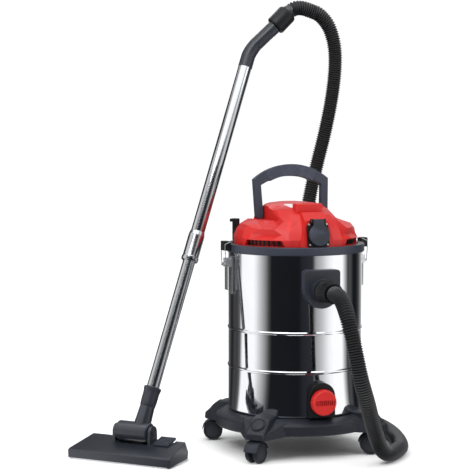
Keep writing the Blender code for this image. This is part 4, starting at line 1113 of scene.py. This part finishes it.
for node, look, width, segments in REFINED:
    refined(node, look, width, segments)
for side in ("left", "right"):
    refined(f"latch_base_{side}", "latch", 0.0008, 2)
    refined(f"latch_lever_{side}", "latch", 0.0005, 2)
    refined(f"latch_bail_{side}", "zinc", 0.0002, 1)
    refined(f"lid_hook_{side}", "black", 0.0008, 2)
    refined(f"vent_grille_{side}", "black", 0.0004, 2)
for corner in CORNERS:
    refined(f"caster_hood_{corner}", "trolley", 0.0007, 2)
for row in ("top", "bottom"):
    for side in ("left", "right"):
        refined(f"outlet_screw_{row}_{side}", "zinc", 0.0003, 2)


# Stage: floor, cards and lights

VIEW_TURN = atan2(CAMERA_AT.y - AXIS.y, CAMERA_AT.x - AXIS.x)
SCREEN_FOOT = 0.26
SCREEN_REACH = 1.5
SCREEN_LIFT = 0.002
SCREEN_TOP = 1.7
# Grey level of the screens round the machine by their angle off the view, set after the drum's reflections
SCREENS = (
    (-180, 0.45), (-150, 0.095), (-134, 0.012), (-121, 0.055), (-112, 0.045), (-104, 0.12), (-97, 0.95),
    (-72, 1.0), (-66, 0.85), (-60, 0.6), (-54, 0.4), (-48, 0.22), (-43, 0.065), (-38, 0.0116),
    (6, 0.0097), (12, 0.02), (29, 0.03), (34, 0.32), (45, 0.53), (57, 0.87), (66, 1.0), (84, 0.98),
    (90, 0.45), (97, 0.05), (104, 0.07), (113, 0.01), (123, 0.01), (134, 0.05), (146, 0.26), (165, 0.8),
)
SCREEN_TINT = 0.035                  # below this level the screens are bluish
SHEET_SIDES = 96
BACKDROP_REACH = 9.0
WHITE = (1.0, 1.0, 1.0, 1.0)


def glowing(name, strength):
    """A material that only gives off light, and the socket of its colour."""
    mat = bpy.data.materials.new(name)
    mat.use_nodes = True
    tree = mat.node_tree
    tree.nodes.remove(tree.nodes["Principled BSDF"])
    glow = tree.nodes.new("ShaderNodeEmission")
    glow.inputs["Strength"].default_value = strength
    tree.links.new(glow.outputs["Emission"], tree.nodes["Material Output"].inputs["Surface"])
    return mat, glow.inputs["Color"]


def ring_sheet(name, rows, centre, turn, mat):
    """A sheet swept right round a centre through the given distances and heights."""
    shape = bmesh.new()
    turns = [2 * pi * k / SHEET_SIDES for k in range(SHEET_SIDES)]
    rings = [[shape.verts.new((reach * cos(a), reach * sin(a), z)) for a in turns] for reach, z in rows]
    for upper, lower in zip(rings, rings[1:]):
        bridged(shape, upper, lower)
    mesh = as_mesh(name, shape)
    mesh.materials.append(mat)
    piece = added(name, mesh)
    piece.location = centre
    piece.rotation_euler = (0, 0, turn)
    piece.visible_diffuse = False
    piece.visible_shadow = False
    piece.visible_transmission = False
    return piece


def make_screens():
    """Grey and white screens about the machine, which only its reflections see."""
    mat, colour = glowing("studio_screens", 1.15)
    tree = mat.node_tree
    place = tree.nodes.new("ShaderNodeTexCoord")
    around = tree.nodes.new("ShaderNodeTexGradient")
    around.gradient_type = "RADIAL"
    tree.links.new(place.outputs["Object"], around.inputs["Vector"])
    ramp = tree.nodes.new("ShaderNodeValToRGB").color_ramp
    stops = [(angle / 360 + 0.5, level) for angle, level in SCREENS]
    for index, (position, level) in enumerate(stops):
        element = ramp.elements[0] if index == 0 else ramp.elements.new(position)
        element.position = position
        cool = 1.0 if level > SCREEN_TINT else 0.86
        element.color = (level * cool, level * (0.5 + 0.5 * cool), level * (2 - cool), 1.0)
    ramp.elements.remove(ramp.elements[-1])
    tree.links.new(around.outputs["Fac"], tree.nodes["Color Ramp"].inputs["Fac"])
    tree.links.new(tree.nodes["Color Ramp"].outputs["Color"], colour)
    rows = ((SCREEN_FOOT, SCREEN_LIFT), (SCREEN_REACH, SCREEN_LIFT), (SCREEN_REACH, SCREEN_TOP))
    screens = ring_sheet("screens", rows, AXIS, VIEW_TURN, mat)
    screens.visible_camera = False


def make_backdrop():
    """A white wall far behind everything, which reflections don't see."""
    mat, colour = glowing("backdrop_paper", 1.04)
    colour.default_value = WHITE
    rows = ((BACKDROP_REACH, -0.1), (BACKDROP_REACH, BACKDROP_REACH))
    backdrop = ring_sheet("backdrop", rows, AXIS, 0.0, mat)
    backdrop.visible_glossy = False


# Area lamps: where each hangs, what it points at, its width and height, and its power in watts
LAMPS = (
    ("key", (-2.4, -2.2, 2.9), (0, 0, 0.5), (1.3, 1.3), 58),
    ("fill", (2.6, -1.6, 2.2), (0, 0, 0.5), (1.4, 1.4), 14),
    ("back", (0.5, 2.8, 2.6), (0, 0, 0.6), (2.0, 1.2), 26),
)
SUN_STRENGTH = 1.7
SUN_SPREAD = radians(80)
SUN_TURN = (radians(18), radians(-12), 0)
WORLD_STRENGTH = 0.66
FLOOR_SIZE = 60.0
FLOOR_DROP = 0.0005


def make_floor():
    look = Look("floor_paper")
    tone = look.colours(look.noise(3.0, 2.0), (0.3, (0.95, 0.95, 0.955)), (0.7, (0.98, 0.98, 0.98)))
    look.constant(Roughness=0.9)
    shape = bmesh.new()
    bmesh.ops.create_grid(shape, x_segments=4, y_segments=4, size=FLOOR_SIZE)
    mesh = as_mesh("floor", shape)
    mesh.materials.append(look.finish(tone))
    floor = added("floor", mesh)
    floor.location = (0, 0, -FLOOR_DROP)


def lamp(name, location, target, size, power):
    data = bpy.data.lights.new(name, "AREA")
    data.shape = "RECTANGLE"
    data.size, data.size_y = size
    data.energy = power
    light = added(name, data)
    light.location = location
    light.rotation_euler = (Vector(target) - Vector(location)).to_track_quat("-Z", "Y").to_euler()


def make_sun():
    data = bpy.data.lights.new("overhead", "SUN")
    data.energy = SUN_STRENGTH
    data.angle = SUN_SPREAD
    added("overhead", data).rotation_euler = SUN_TURN


def make_world():
    world = bpy.data.worlds.new("studio")
    world.use_nodes = True
    background = world.node_tree.nodes["Background"]
    background.inputs["Color"].default_value = WHITE
    background.inputs["Strength"].default_value = WORLD_STRENGTH
    bpy.context.scene.world = world


make_floor()
make_world()
make_screens()
make_backdrop()
for name, location, target, size, power in LAMPS:
    lamp(name, location, target, size, power)
make_sun()
bpy.context.scene.view_settings.view_transform = "Standard"
